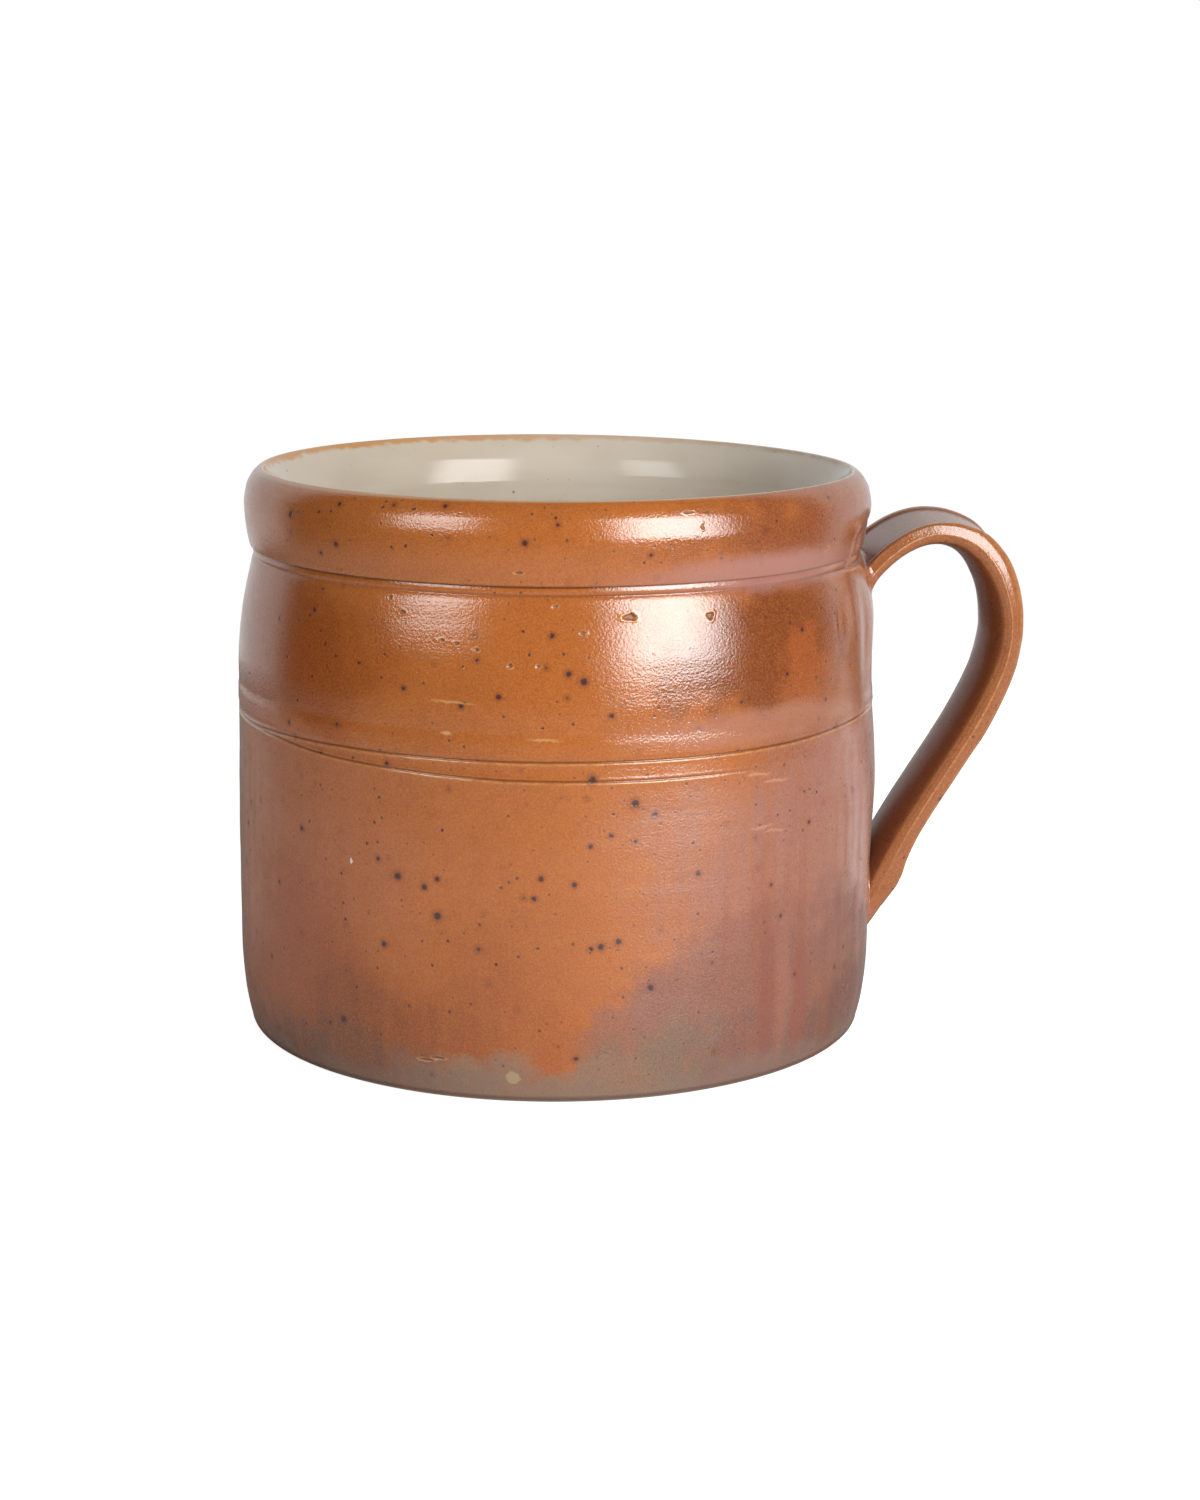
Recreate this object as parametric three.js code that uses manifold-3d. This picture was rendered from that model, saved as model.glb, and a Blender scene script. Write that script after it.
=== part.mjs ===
// A stoneware crock with one strap handle, thrown on the wheel: a straight wall on a tucked-in foot,
// two scored lines at the waist, a neck under a heavy rounded collar, and a pale glaze poured inside.
// The handle is a ribbed strap of clay, pressed on at the collar and at the wall, with a wad of luting
// clay under its root and another below its tail. Lengths are in millimetres, +Z is the throwing axis,
// z = 0 is the face that the jar stands on, and the handle points along +X.
import * as THREE from "three";
import { mergeVertices } from "three/addons/utils/BufferGeometryUtils.js";
import Module from "manifold-3d";

const wasm = await Module();
wasm.setup();

// Jar, outside
const JAR_HEIGHT = 183;
const BELLY_RADIUS = 105; // the straight lower wall
const FOOT_TUCK = 3.4; // how far the wall draws in at the foot
const TUCK_HEIGHT = 34; // height over which it draws in
const FOOT_ROUND = 1.6; // rounding of the edge that stands on the table
const WAIST_RADIUS = 104.2; // wall at the scored lines
const SCORE_HEIGHT = 106.8; // upper scored line
const SCORE_SPACING = 6; // from the upper scored line down to the lower one
const SCORE_WIDTH = 1.4;
const SCORE_DEPTH = 0.6;
const SHOULDER_LENGTH = 37; // from where the wall starts to draw in up to the neck
const NECK_RADIUS = 99.4;
const NECK_BAND = 2.9; // plain band between the neck line and the collar's lower edge
const NECK_LINE_WIDTH = 1;
const NECK_LINE_DEPTH = 0.45;

// Collar and lip
const COLLAR_HEIGHT = 24.8; // from the collar's lower edge to the lip
const COLLAR_RADIUS = 102; // the collar at its fullest
const COLLAR_STEP = 1.1; // how far its lower edge stands out from the neck
const COLLAR_CROWN = 10.8; // from its fullest ring up to the lip
const CROWN_LEAN = 0.7; // how far the crown leans in before it turns over to the lip
const CROWN_TURN = 2.5; // depth below the lip at which it turns over
const LIP_RADIUS = 96.7; // crest of the lip
const LIP_ROUND = 2.5; // rounding from the crest into the mouth

// Jar, inside
const BELLY_WALL = 9; // clay thickness at the belly
const NECK_WALL = 10.6; // clay thickness at the neck
const FLOOR_THICKNESS = 10;
const FLOOR_FILLET = 18; // sweep from the floor into the wall

// Pale glaze lining
const GLAZE_THICKNESS = 0.6;
const GLAZE_STOP = 2; // bare clay between the lip's rounding and the lining's upper edge
const SLIP_GAP = 0.3; // clearance between each two pieces that touch

// Strap handle: its spine is a curve in the XZ plane, drawn in two stretches that meet at the outermost point
const ROOT_BELOW_COLLAR = 11.2; // where the spine leaves the neck, below the collar's lower edge
const ROOT_SINK = 5; // how deep the spine starts inside the neck
const TAIL_SINK = 5.9; // how deep it ends inside the wall
const ROOT_RISE = 22.3; // pull of the spine's start above the collar's lower edge
const ROOT_LEAN = 20.6; // how far out of the neck that pull lies
const ARCH_RISE = 5; // pull of the arch's outer half above the collar's lower edge
const REACH = 46.5; // from the belly to the spine's outermost point
const REACH_BELOW_COLLAR = 29.2; // the outermost point, below the collar's lower edge
const DROP_PULL = 23.2; // length of the near-upright stretch under the outermost point
const TAIL_HEIGHT = 23.3; // where the spine ends inside the wall
const TAIL_RUN = 44.7; // height of the slanting stretch above the tail
const TAIL_SLANT = 18.1; // how far that stretch moves out over its height
const STRAP_WIDTH = 31;
const ROOT_WIDTH = 35;
const TAIL_WIDTH = 33;
const STRAP_EDGE = 5.4; // thickness of the strap along its edges
const ROOT_EDGE = 4.8;
const TAIL_EDGE = 5.4;
const ROOT_LENGTH = 26; // path length over which the root narrows to the strap
const TAIL_LENGTH = 44; // path length over which the strap widens to the tail
const BEAD_WIDTH = 6.4; // the raised bead along each edge of the outer face
const BEAD_RISE = 0.9; // how far the bead stands above the edge
const CHANNEL_DEPTH = 1; // the flat channel between the two beads
const EDGE_ROUND = 1; // softening of the edge's two corners
const BELLY_SWELL = 4.4; // how far the inner face swells below the edge

// Luting clay: each wad is a tongue, rounded at its lower end
const ROOT_WAD_WIDTH = 28;
const ROOT_WAD_DROP = 18; // from the neck line down to the wad's lower end
const ROOT_WAD_REACH = 17; // how far it follows the strap out of the wall
const ROOT_WAD_FILL = 7; // how far it fills the corner out from the neck
const ROOT_WAD_SAG = 12; // how far below the neck line it does so
const TAIL_WAD_WIDTH = 35;
const TAIL_WAD_FOOT = 26; // height of the wad's lower end
const TAIL_WAD_TOP = 58; // height at which it starts on the strap
const TAIL_WAD_BULGE = 2.4; // how far it is pulled out from the straight line between the two
const WAD_TIP = 12; // rounding of the two lower corners of a wad
const WAD_DIG = 1; // how far a wad's lower end runs into the wall's line before it is cut to it

// Facets
const ROUND_SEGMENTS = 60;
const CURVE_STEPS = 6;
const MOUTH_STEPS = 4;
const PATH_STEPS = 16; // for each of the two stretches of the spine
const WAD_STEPS = 10;

const collarEdge = JAR_HEIGHT - COLLAR_HEIGHT;
const neckHeight = collarEdge - NECK_BAND;
const shoulderHeight = neckHeight - SHOULDER_LENGTH;
const floorRadius = BELLY_RADIUS - BELLY_WALL;

const stoneware = new THREE.MeshStandardMaterial({ color: 0xb0662f, roughness: 0.34, metalness: 0 });
const handleClay = new THREE.MeshStandardMaterial({ color: 0x8f4f22, roughness: 0.32, metalness: 0 });
const lutingClay = new THREE.MeshStandardMaterial({ color: 0xa05c30, roughness: 0.38, metalness: 0 });
const paleGlaze = new THREE.MeshStandardMaterial({ color: 0xbfb8a8, roughness: 0.2, metalness: 0 });

const point = (radius, height) => new THREE.Vector2(radius, height);

// Points of a quadratic curve, without its first one
function bend(from, pull, to, steps = CURVE_STEPS) {
  return new THREE.QuadraticBezierCurve(from, pull, to).getPoints(steps).slice(1);
}

// Points of a quarter ellipse about a centre, without the first one
function quarter(centre, width, height, startAngle, endAngle, steps = CURVE_STEPS) {
  const clockwise = endAngle < startAngle;
  const arc = new THREE.EllipseCurve(centre.x, centre.y, width, height, startAngle, endAngle, clockwise);
  return arc.getPoints(steps).slice(1);
}

// A V-shaped line pressed into the wall
function scoredLine(radius, height, width, depth) {
  return [
    point(radius, height - width / 2),
    point(radius - depth, height),
    point(radius, height + width / 2),
  ];
}

// Radius of the lower wall, which draws in to the foot
function tuckedRadius(height) {
  return BELLY_RADIUS - FOOT_TUCK * Math.max(0, 1 - height / TUCK_HEIGHT) ** 3;
}

// Radius of the wall in the stretch that draws in to the neck
function shoulderRadius(height) {
  return WAIST_RADIUS - (WAIST_RADIUS - NECK_RADIUS) * ((height - shoulderHeight) / SHOULDER_LENGTH) ** 2;
}

// Outer profile from the axis under the foot to the crest of the lip, moved out by grow on every side
function outerProfile(grow = 0) {
  const waist = WAIST_RADIUS + grow;
  const neck = NECK_RADIUS + grow;
  const edge = collarEdge - grow;
  const fullest = JAR_HEIGHT - COLLAR_CROWN;
  const footTop = tuckedRadius(FOOT_ROUND) + grow;
  const footCentre = point(footTop - FOOT_ROUND, FOOT_ROUND - grow);
  const points = [point(0, -grow), point(footCentre.x, -grow)];
  points.push(...quarter(footCentre, FOOT_ROUND, FOOT_ROUND, -Math.PI / 2, 0, 3));
  for (let step = 1; step <= CURVE_STEPS; step++) {
    const height = FOOT_ROUND + ((TUCK_HEIGHT - FOOT_ROUND) * step) / CURVE_STEPS;
    points.push(point(tuckedRadius(height) + grow, height));
  }
  const lowerScore = SCORE_HEIGHT - SCORE_SPACING;
  points.push(...scoredLine(waist, lowerScore, SCORE_WIDTH, SCORE_DEPTH));
  points.push(...scoredLine(waist, SCORE_HEIGHT, SCORE_WIDTH, SCORE_DEPTH));
  const shoulderTop = neckHeight - NECK_LINE_WIDTH;
  for (let step = 0; step <= CURVE_STEPS; step++) {
    const height = shoulderHeight + ((shoulderTop - shoulderHeight) * step) / CURVE_STEPS;
    points.push(point(shoulderRadius(height) + grow, height));
  }
  points.push(...scoredLine(neck, neckHeight, NECK_LINE_WIDTH, NECK_LINE_DEPTH));
  points.push(point(neck, edge), point(neck + COLLAR_STEP, edge));
  const full = point(COLLAR_RADIUS + grow, fullest);
  points.push(...bend(point(neck + COLLAR_STEP, edge), point(full.x, (edge + fullest) / 2), full, 4));
  const turn = point(full.x - CROWN_LEAN, JAR_HEIGHT + grow - CROWN_TURN);
  points.push(...bend(full, turn, point(LIP_RADIUS, JAR_HEIGHT + grow)));
  return points;
}

// Inner profile from a little below the lip's rounding down to the axis, moved in by inset on every side
function innerProfile(below = 0, inset = 0) {
  const mouth = point(LIP_RADIUS - LIP_ROUND - inset, JAR_HEIGHT - LIP_ROUND);
  const throat = point(NECK_RADIUS - NECK_WALL - inset, neckHeight);
  const wall = point(floorRadius - inset, shoulderHeight);
  const fillet = FLOOR_FILLET - inset;
  const sweep = point(wall.x - fillet, FLOOR_THICKNESS + FLOOR_FILLET);
  const mouthCurve = new THREE.QuadraticBezierCurve(mouth, point(throat.x, (mouth.y + throat.y) / 2), throat);
  const start = below / (mouth.y - throat.y);
  const points = [];
  for (let step = 0; step <= MOUTH_STEPS; step++) {
    points.push(mouthCurve.getPoint(start + ((1 - start) * step) / MOUTH_STEPS));
  }
  points.push(...bend(throat, point(wall.x, (throat.y + wall.y) / 2), wall, 4));
  points.push(point(wall.x, sweep.y));
  points.push(...quarter(sweep, fillet, fillet, 0, -Math.PI / 2));
  points.push(point(0, FLOOR_THICKNESS + inset));
  return points;
}

// A closed profile turned about the Z axis
function turned(profile) {
  return new THREE.LatheGeometry(profile, ROUND_SEGMENTS).rotateX(Math.PI / 2);
}

// A closed mesh as a solid that can be joined and cut
function solidOf(geometry) {
  const bare = geometry.clone();
  bare.deleteAttribute("normal");
  bare.deleteAttribute("uv");
  const merged = mergeVertices(bare, 1e-3);
  return new wasm.Manifold(
    new wasm.Mesh({
      numProp: 3,
      vertProperties: merged.attributes.position.array,
      triVerts: new Uint32Array(merged.index.array),
    }),
  );
}

// A solid as a geometry again
function geometryOf(solid) {
  const mesh = solid.getMesh();
  const geometry = new THREE.BufferGeometry();
  geometry.setAttribute("position", new THREE.BufferAttribute(mesh.vertProperties, 3));
  geometry.setIndex(new THREE.BufferAttribute(mesh.triVerts, 1));
  return geometry;
}

// A skin through rings of points, closed by a fan at each end
function loft(rings) {
  const count = rings[0].length;
  const positions = rings.flat().flatMap((p) => [p.x, p.y, p.z]);
  const faces = [];
  for (let ring = 0; ring + 1 < rings.length; ring++) {
    for (let side = 0; side < count; side++) {
      const a = ring * count + side;
      const b = ring * count + ((side + 1) % count);
      faces.push(a, a + count, b, b, a + count, b + count);
    }
  }
  for (const [ring, turn] of [[0, false], [rings.length - 1, true]]) {
    const centre = positions.length / 3;
    const middle = rings[ring].reduce((sum, p) => sum.add(p), new THREE.Vector3()).divideScalar(count);
    positions.push(middle.x, middle.y, middle.z);
    for (let side = 0; side < count; side++) {
      const a = ring * count + side;
      const b = ring * count + ((side + 1) % count);
      faces.push(...(turn ? [b, a, centre] : [a, b, centre]));
    }
  }
  const geometry = new THREE.BufferGeometry();
  geometry.setAttribute("position", new THREE.Float32BufferAttribute(positions, 3));
  geometry.setIndex(faces);
  return geometry;
}

// The handle's spine in the XZ plane, from inside the neck over the arch and down to inside the wall
function handleSpine() {
  const inPlane = (x, z) => new THREE.Vector3(x, 0, z);
  const outermost = inPlane(BELLY_RADIUS + REACH, collarEdge - REACH_BELOW_COLLAR);
  const root = inPlane(NECK_RADIUS - ROOT_SINK, collarEdge - ROOT_BELOW_COLLAR - ROOT_SINK);
  const tail = inPlane(BELLY_RADIUS - TAIL_SINK, TAIL_HEIGHT);
  const spine = new THREE.CurvePath();
  spine.add(
    new THREE.CubicBezierCurve3(
      root,
      inPlane(NECK_RADIUS + ROOT_LEAN, collarEdge + ROOT_RISE),
      inPlane(outermost.x, collarEdge + ARCH_RISE),
      outermost,
    ),
  );
  spine.add(
    new THREE.CubicBezierCurve3(
      outermost,
      inPlane(outermost.x, outermost.z - DROP_PULL),
      inPlane(tail.x + TAIL_SLANT, tail.z + TAIL_RUN),
      tail,
    ),
  );
  return spine;
}

// A size that eases from its value at the root to the strap's and on to its value at the tail
function along(travelled, length, atRoot, atStrap, atTail) {
  const root = 1 - THREE.MathUtils.smoothstep(travelled, 0, ROOT_LENGTH);
  const tail = THREE.MathUtils.smoothstep(travelled, length - TAIL_LENGTH, length);
  return atStrap + (atRoot - atStrap) * root + (atTail - atStrap) * tail;
}

// Outline of the strap across its run: a channel between two beads outside, a faceted edge, a round belly
// inside. x runs across the strap and y points away from the jar.
function strapOutline(width, edge, grow) {
  const half = width / 2 + grow;
  const rim = edge / 2 + grow;
  const channel = rim + BEAD_RISE - CHANNEL_DEPTH;
  const side = [
    point(half - BEAD_WIDTH, channel),
    point(half - BEAD_WIDTH / 2, rim + BEAD_RISE),
    point(half - EDGE_ROUND, rim),
    point(half, rim - EDGE_ROUND),
    point(half, EDGE_ROUND - rim),
    point(half - EDGE_ROUND, -rim),
    point(half - BEAD_WIDTH, -rim - BELLY_SWELL / 2),
  ];
  const mirrored = side.map((p) => point(-p.x, p.y)).reverse();
  return [point(0, channel), ...side, point(0, -rim - BELLY_SWELL), ...mirrored];
}

// The strap before it is cut to the jar, moved out by grow on every side
function strapSolid(grow = 0) {
  const spine = handleSpine();
  const length = spine.getLength();
  const steps = 2 * PATH_STEPS;
  const rings = [];
  for (let step = 0; step <= steps; step++) {
    const share = step / steps;
    const centre = spine.getPointAt(share);
    const run = spine.getTangentAt(share);
    const outward = new THREE.Vector3(-run.z, 0, run.x);
    const width = along(share * length, length, ROOT_WIDTH, STRAP_WIDTH, TAIL_WIDTH);
    const edge = along(share * length, length, ROOT_EDGE, STRAP_EDGE, TAIL_EDGE);
    rings.push(
      strapOutline(width, edge, grow).map((p) =>
        new THREE.Vector3(0, p.x, 0).add(centre).addScaledVector(outward, p.y),
      ),
    );
  }
  return solidOf(loft(rings));
}

// A wad of clay: a side view in the XZ plane and a front view in the YZ plane, cut out of each other
function wadSolid(sideView, width, foot) {
  const slab = new THREE.ExtrudeGeometry(new THREE.Shape(sideView), { depth: width, bevelEnabled: false });
  const half = width / 2;
  const tongue = new THREE.Shape();
  tongue.moveTo(-half, JAR_HEIGHT);
  tongue.lineTo(-half, foot + WAD_TIP);
  tongue.quadraticCurveTo(-half, foot, WAD_TIP - half, foot);
  tongue.lineTo(half - WAD_TIP, foot);
  tongue.quadraticCurveTo(half, foot, half, foot + WAD_TIP);
  tongue.lineTo(half, JAR_HEIGHT);
  const reach = { depth: BELLY_RADIUS + REACH, bevelEnabled: false, curveSegments: CURVE_STEPS };
  const front = new THREE.ExtrudeGeometry(tongue, reach).rotateX(Math.PI / 2).rotateZ(Math.PI / 2);
  return solidOf(slab.rotateX(Math.PI / 2).translate(0, half, 0)).intersect(solidOf(front));
}

// Points of the spine between two shares of its length
function spinePoints(from, to) {
  const spine = handleSpine();
  const points = [];
  for (let step = 0; step <= WAD_STEPS; step++) {
    const p = spine.getPointAt(from + ((to - from) * step) / WAD_STEPS);
    points.push(point(p.x, p.z));
  }
  return points;
}

// Share of the spine's length at which it comes down to a height, on its way to the tail
function shareAtHeight(height) {
  const spine = handleSpine();
  let low = 0.5;
  let high = 1;
  for (let halving = 0; halving < 24; halving++) {
    const middle = (low + high) / 2;
    if (spine.getPointAt(middle).z > height) low = middle;
    else high = middle;
  }
  return low;
}

// Luting clay in the corner under the handle's root: it runs down the shoulder
function rootWadSolid() {
  const share = (ROOT_SINK + ROOT_WAD_REACH) / handleSpine().getLength();
  const top = spinePoints(0, share).reverse();
  const footHeight = neckHeight - ROOT_WAD_DROP;
  const foot = point(shoulderRadius(footHeight) - WAD_DIG, footHeight);
  const corner = point(NECK_RADIUS + ROOT_WAD_FILL, neckHeight - ROOT_WAD_SAG);
  const face = bend(foot, corner, top[0], WAD_STEPS).slice(0, -1);
  return wadSolid([...top, foot, ...face], ROOT_WAD_WIDTH, footHeight);
}

// Luting clay below the handle's tail: it swells out under the strap and runs down the wall
function tailWadSolid() {
  const from = shareAtHeight(TAIL_WAD_TOP);
  const top = spinePoints(from, 1);
  const run = handleSpine().getTangentAt(from);
  const crest = TAIL_EDGE / 2 + BEAD_RISE;
  const start = point(top[0].x - run.z * crest, top[0].y + run.x * crest);
  const foot = point(tuckedRadius(TAIL_WAD_FOOT) - WAD_DIG, TAIL_WAD_FOOT);
  const swell = point((foot.x + start.x) / 2 + TAIL_WAD_BULGE, (foot.y + start.y) / 2 - TAIL_WAD_BULGE);
  return wadSolid([...top, foot, ...bend(foot, swell, start, WAD_STEPS)], TAIL_WAD_WIDTH, TAIL_WAD_FOOT);
}

const lipCentre = point(LIP_RADIUS, JAR_HEIGHT - LIP_ROUND);
const lipRounding = quarter(lipCentre, LIP_ROUND, LIP_ROUND, Math.PI / 2, Math.PI, 4);
const jarProfile = [...outerProfile(), ...lipRounding, ...innerProfile().slice(1)];
const liningBack = innerProfile(GLAZE_STOP, SLIP_GAP);
const liningFace = innerProfile(GLAZE_STOP, SLIP_GAP + GLAZE_THICKNESS);

const seat = solidOf(turned([...outerProfile(SLIP_GAP), point(0, JAR_HEIGHT + SLIP_GAP)]));
const clearOfStrap = strapSolid(SLIP_GAP);

const jar = new THREE.Group();
const handle = new THREE.Group();
jar.add(handle);

// A named piece in one of the groups
function piece(group, name, geometry, material) {
  const mesh = new THREE.Mesh(geometry, material);
  mesh.name = name;
  group.add(mesh);
}

piece(jar, "jar_body", turned(jarProfile), stoneware);
piece(jar, "glaze_lining", turned([...liningBack.reverse(), ...liningFace]), paleGlaze);
piece(handle, "handle_strap", geometryOf(strapSolid().subtract(seat)), handleClay);
const rootWad = rootWadSolid().subtract(seat).subtract(clearOfStrap);
const tailWad = tailWadSolid().subtract(seat).subtract(clearOfStrap);
piece(handle, "root_luting_wad", geometryOf(rootWad), lutingClay);
piece(handle, "tail_luting_wad", geometryOf(tailWad), lutingClay);

export default jar;
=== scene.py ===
"""Dresses a wheel-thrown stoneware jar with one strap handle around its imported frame.

Sizes are in millimetres in the jar's own frame: Z is the throwing axis, the handle is on +X, and an angle
round the wall is measured in degrees from the front (-Y) towards the handle, which is at 90.
"""

from __future__ import annotations

import logging
import math
from dataclasses import dataclass, field
from enum import Enum
from functools import partial
from typing import Iterable, Sequence

import bmesh
import bpy
import numpy as np
from mathutils import Matrix, Vector

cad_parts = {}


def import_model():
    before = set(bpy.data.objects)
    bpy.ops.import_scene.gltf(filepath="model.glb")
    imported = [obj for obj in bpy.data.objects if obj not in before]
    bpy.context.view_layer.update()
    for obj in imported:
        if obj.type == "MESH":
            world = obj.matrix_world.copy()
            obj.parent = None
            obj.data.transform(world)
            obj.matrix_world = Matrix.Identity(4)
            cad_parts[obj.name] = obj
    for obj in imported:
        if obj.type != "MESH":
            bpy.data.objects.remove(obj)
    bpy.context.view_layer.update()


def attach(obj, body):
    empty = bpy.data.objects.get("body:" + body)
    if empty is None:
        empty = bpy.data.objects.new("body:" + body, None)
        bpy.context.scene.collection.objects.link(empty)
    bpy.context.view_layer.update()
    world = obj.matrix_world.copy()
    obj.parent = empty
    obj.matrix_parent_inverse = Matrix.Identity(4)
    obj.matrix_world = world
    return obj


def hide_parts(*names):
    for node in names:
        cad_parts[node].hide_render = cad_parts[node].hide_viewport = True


LOG = logging.getLogger("handled_jar")
MM = 0.001
BODY = "root"
SMOOTH = {"interpolation_type": "SMOOTHSTEP"}
# specular level of a glaze that mirrors as its IOR says
FULL_GLEAM = 0.5
Point = tuple[float, float]
Socket = bpy.types.NodeSocket


class Mark(str, Enum):
    """Vertex attributes that tell a finish where the glaze broke, gathered in pools or carries painted shade,
    is missing or stayed thin.
    """

    BROKEN = "glaze_broken"
    # glaze that gathered in grooves, and painted shade on the strap's belly
    POOLED = "glaze_pooled_and_shade"
    BARE = "bare_clay"
    SHELTERED = "sheltered_from_salt"


# Small helpers for curves and meshes


def ease(low: float, high: float, value: np.ndarray) -> np.ndarray:
    """Rises smoothly from 0 at low to 1 at high.

    Args:
        low: value at which the rise starts.
        high: value at which it ends.
        value: where to read it.

    Returns:
        The share of the rise at each value.
    """
    share = np.clip((np.asarray(value, float) - low) / (high - low), 0.0, 1.0)
    return share * share * (3.0 - 2.0 * share)


def hump(distance: np.ndarray, width: float) -> np.ndarray:
    """A smooth bump that is 1 at distance 0 and dies away past width."""
    return np.exp(-((np.asarray(distance, float) / width) ** 2))


def bend(start: Point, pull: Point, end: Point, steps: int) -> list[Point]:
    """Points on a quadratic curve, without its first one.

    Args:
        start: where the curve starts.
        pull: the point that it is drawn towards.
        end: where it ends.
        steps: number of points.

    Returns:
        The points, the last of which is end.
    """
    points = []
    for step in range(1, steps + 1):
        share = step / steps
        first = (1.0 - share) ** 2
        middle = 2.0 * share * (1.0 - share)
        last = share * share
        points.append(tuple(first * a + middle * b + last * c for a, b, c in zip(start, pull, end)))
    return points


def angle_from_front(x: np.ndarray, y: np.ndarray) -> np.ndarray:
    """Degrees round the wall, from the front towards the handle."""
    return np.degrees(np.arctan2(x, -y))


def turn_apart(angle: np.ndarray, other: float) -> np.ndarray:
    """Shortest signed turn in degrees from other to angle."""
    return (np.asarray(angle, float) - other + 180.0) % 360.0 - 180.0


def clear_selection() -> None:
    """Goes back to object mode with nothing selected."""
    active = bpy.context.view_layer.objects.active
    if active is not None and active.mode != "OBJECT":
        bpy.ops.object.mode_set(mode="OBJECT")
    bpy.ops.object.select_all(action="DESELECT")


def new_piece(name: str) -> bpy.types.Object:
    """Names the primitive that was just added, and its mesh.

    Args:
        name: name of the new piece.

    Returns:
        The piece.
    """
    piece = bpy.context.object
    piece.name = name
    piece.data.name = name
    return piece


def edit(piece: bpy.types.Object) -> None:
    """Opens one piece in edit mode, with nothing else selected.

    Args:
        piece: the piece to open.
    """
    clear_selection()
    piece.select_set(True)
    bpy.context.view_layer.objects.active = piece
    bpy.ops.object.mode_set(mode="EDIT")


def read_points(piece: bpy.types.Object) -> np.ndarray:
    """Reads where a piece's vertices are.

    Args:
        piece: a mesh in object mode.

    Returns:
        Millimetre points, one row each.
    """
    points = np.empty(len(piece.data.vertices) * 3, np.float32)
    piece.data.vertices.foreach_get("co", points)
    return points.reshape(-1, 3).astype(float) / MM


def write_points(piece: bpy.types.Object, points: np.ndarray) -> None:
    """Puts a piece's vertices, given in millimetres, in their new places."""
    piece.data.vertices.foreach_set("co", (points * MM).astype(np.float32).ravel())
    piece.data.update()


def write_mark(piece: bpy.types.Object, mark: Mark, values: np.ndarray) -> None:
    """Stores one value from 0 to 1 for each vertex under a mark's name.

    Args:
        piece: a mesh in object mode.
        mark: what the values say.
        values: one for each vertex, clipped to that range.
    """
    attribute = piece.data.attributes.get(mark.value)
    if attribute is None:
        attribute = piece.data.attributes.new(mark.value, "FLOAT", "POINT")
    attribute.data.foreach_set("value", np.clip(values, 0.0, 1.0).astype(np.float32))


def read_mark(piece: bpy.types.Object, mark: Mark) -> np.ndarray:
    """Reads back the values that a mark has at each vertex.

    Args:
        piece: a mesh that has the mark.
        mark: what the values say.

    Returns:
        One value for each vertex.
    """
    values = np.empty(len(piece.data.vertices), np.float32)
    piece.data.attributes[mark.value].data.foreach_get("value", values)
    return values.astype(float)


def recalculate_outside(piece: bpy.types.Object, merge_distance: float = 0.002) -> None:
    """Merges doubles, turns every face outwards and shades the piece smooth.

    Args:
        piece: a closed mesh.
        merge_distance: vertices closer than this become one.
    """
    edit(piece)
    bpy.ops.mesh.select_all(action="SELECT")
    bpy.ops.mesh.remove_doubles(threshold=merge_distance * MM)
    bpy.ops.mesh.normals_make_consistent(inside=False)
    bpy.ops.object.mode_set(mode="OBJECT")
    bpy.ops.object.shade_smooth()


def throw_profile(name: str, profile: Sequence[Point], steps: int) -> bpy.types.Object:
    """Draws half a section from the axis outwards and spins it, as on a wheel.

    Args:
        name: name of the new piece.
        profile: radius and height of each point, starting and ending on the axis.
        steps: number of facets round the piece.

    Returns:
        The closed piece.
    """
    clear_selection()
    bpy.ops.mesh.primitive_plane_add(size=MM)
    piece = new_piece(name)
    bpy.ops.object.mode_set(mode="EDIT")
    bpy.ops.mesh.select_mode(type="VERT")
    bpy.ops.mesh.select_all(action="SELECT")
    bpy.ops.mesh.merge(type="CENTER")
    bpy.ops.transform.translate(value=(profile[0][0] * MM, 0.0, profile[0][1] * MM))
    for here, following in zip(profile, profile[1:]):
        stride = ((following[0] - here[0]) * MM, 0.0, (following[1] - here[1]) * MM)
        bpy.ops.mesh.extrude_region_move(TRANSFORM_OT_translate={"value": stride})
    bpy.ops.object.mode_set(mode="OBJECT")
    bpy.ops.object.modifier_add(type="SCREW")
    wheel = piece.modifiers[-1]
    wheel.axis = "Z"
    wheel.angle = math.tau
    wheel.steps = steps
    wheel.render_steps = steps
    wheel.use_merge_vertices = True
    bpy.ops.object.modifier_apply(modifier=wheel.name)
    recalculate_outside(piece)
    return piece


def place_in_rings(face: bmesh.types.BMFace, total: int) -> int:
    """A number of its own for each face of a mesh with total vertices, which rises from ring to ring."""
    corners = [vertex.index for vertex in face.verts]
    return min(corners) * total + max(corners)


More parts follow.
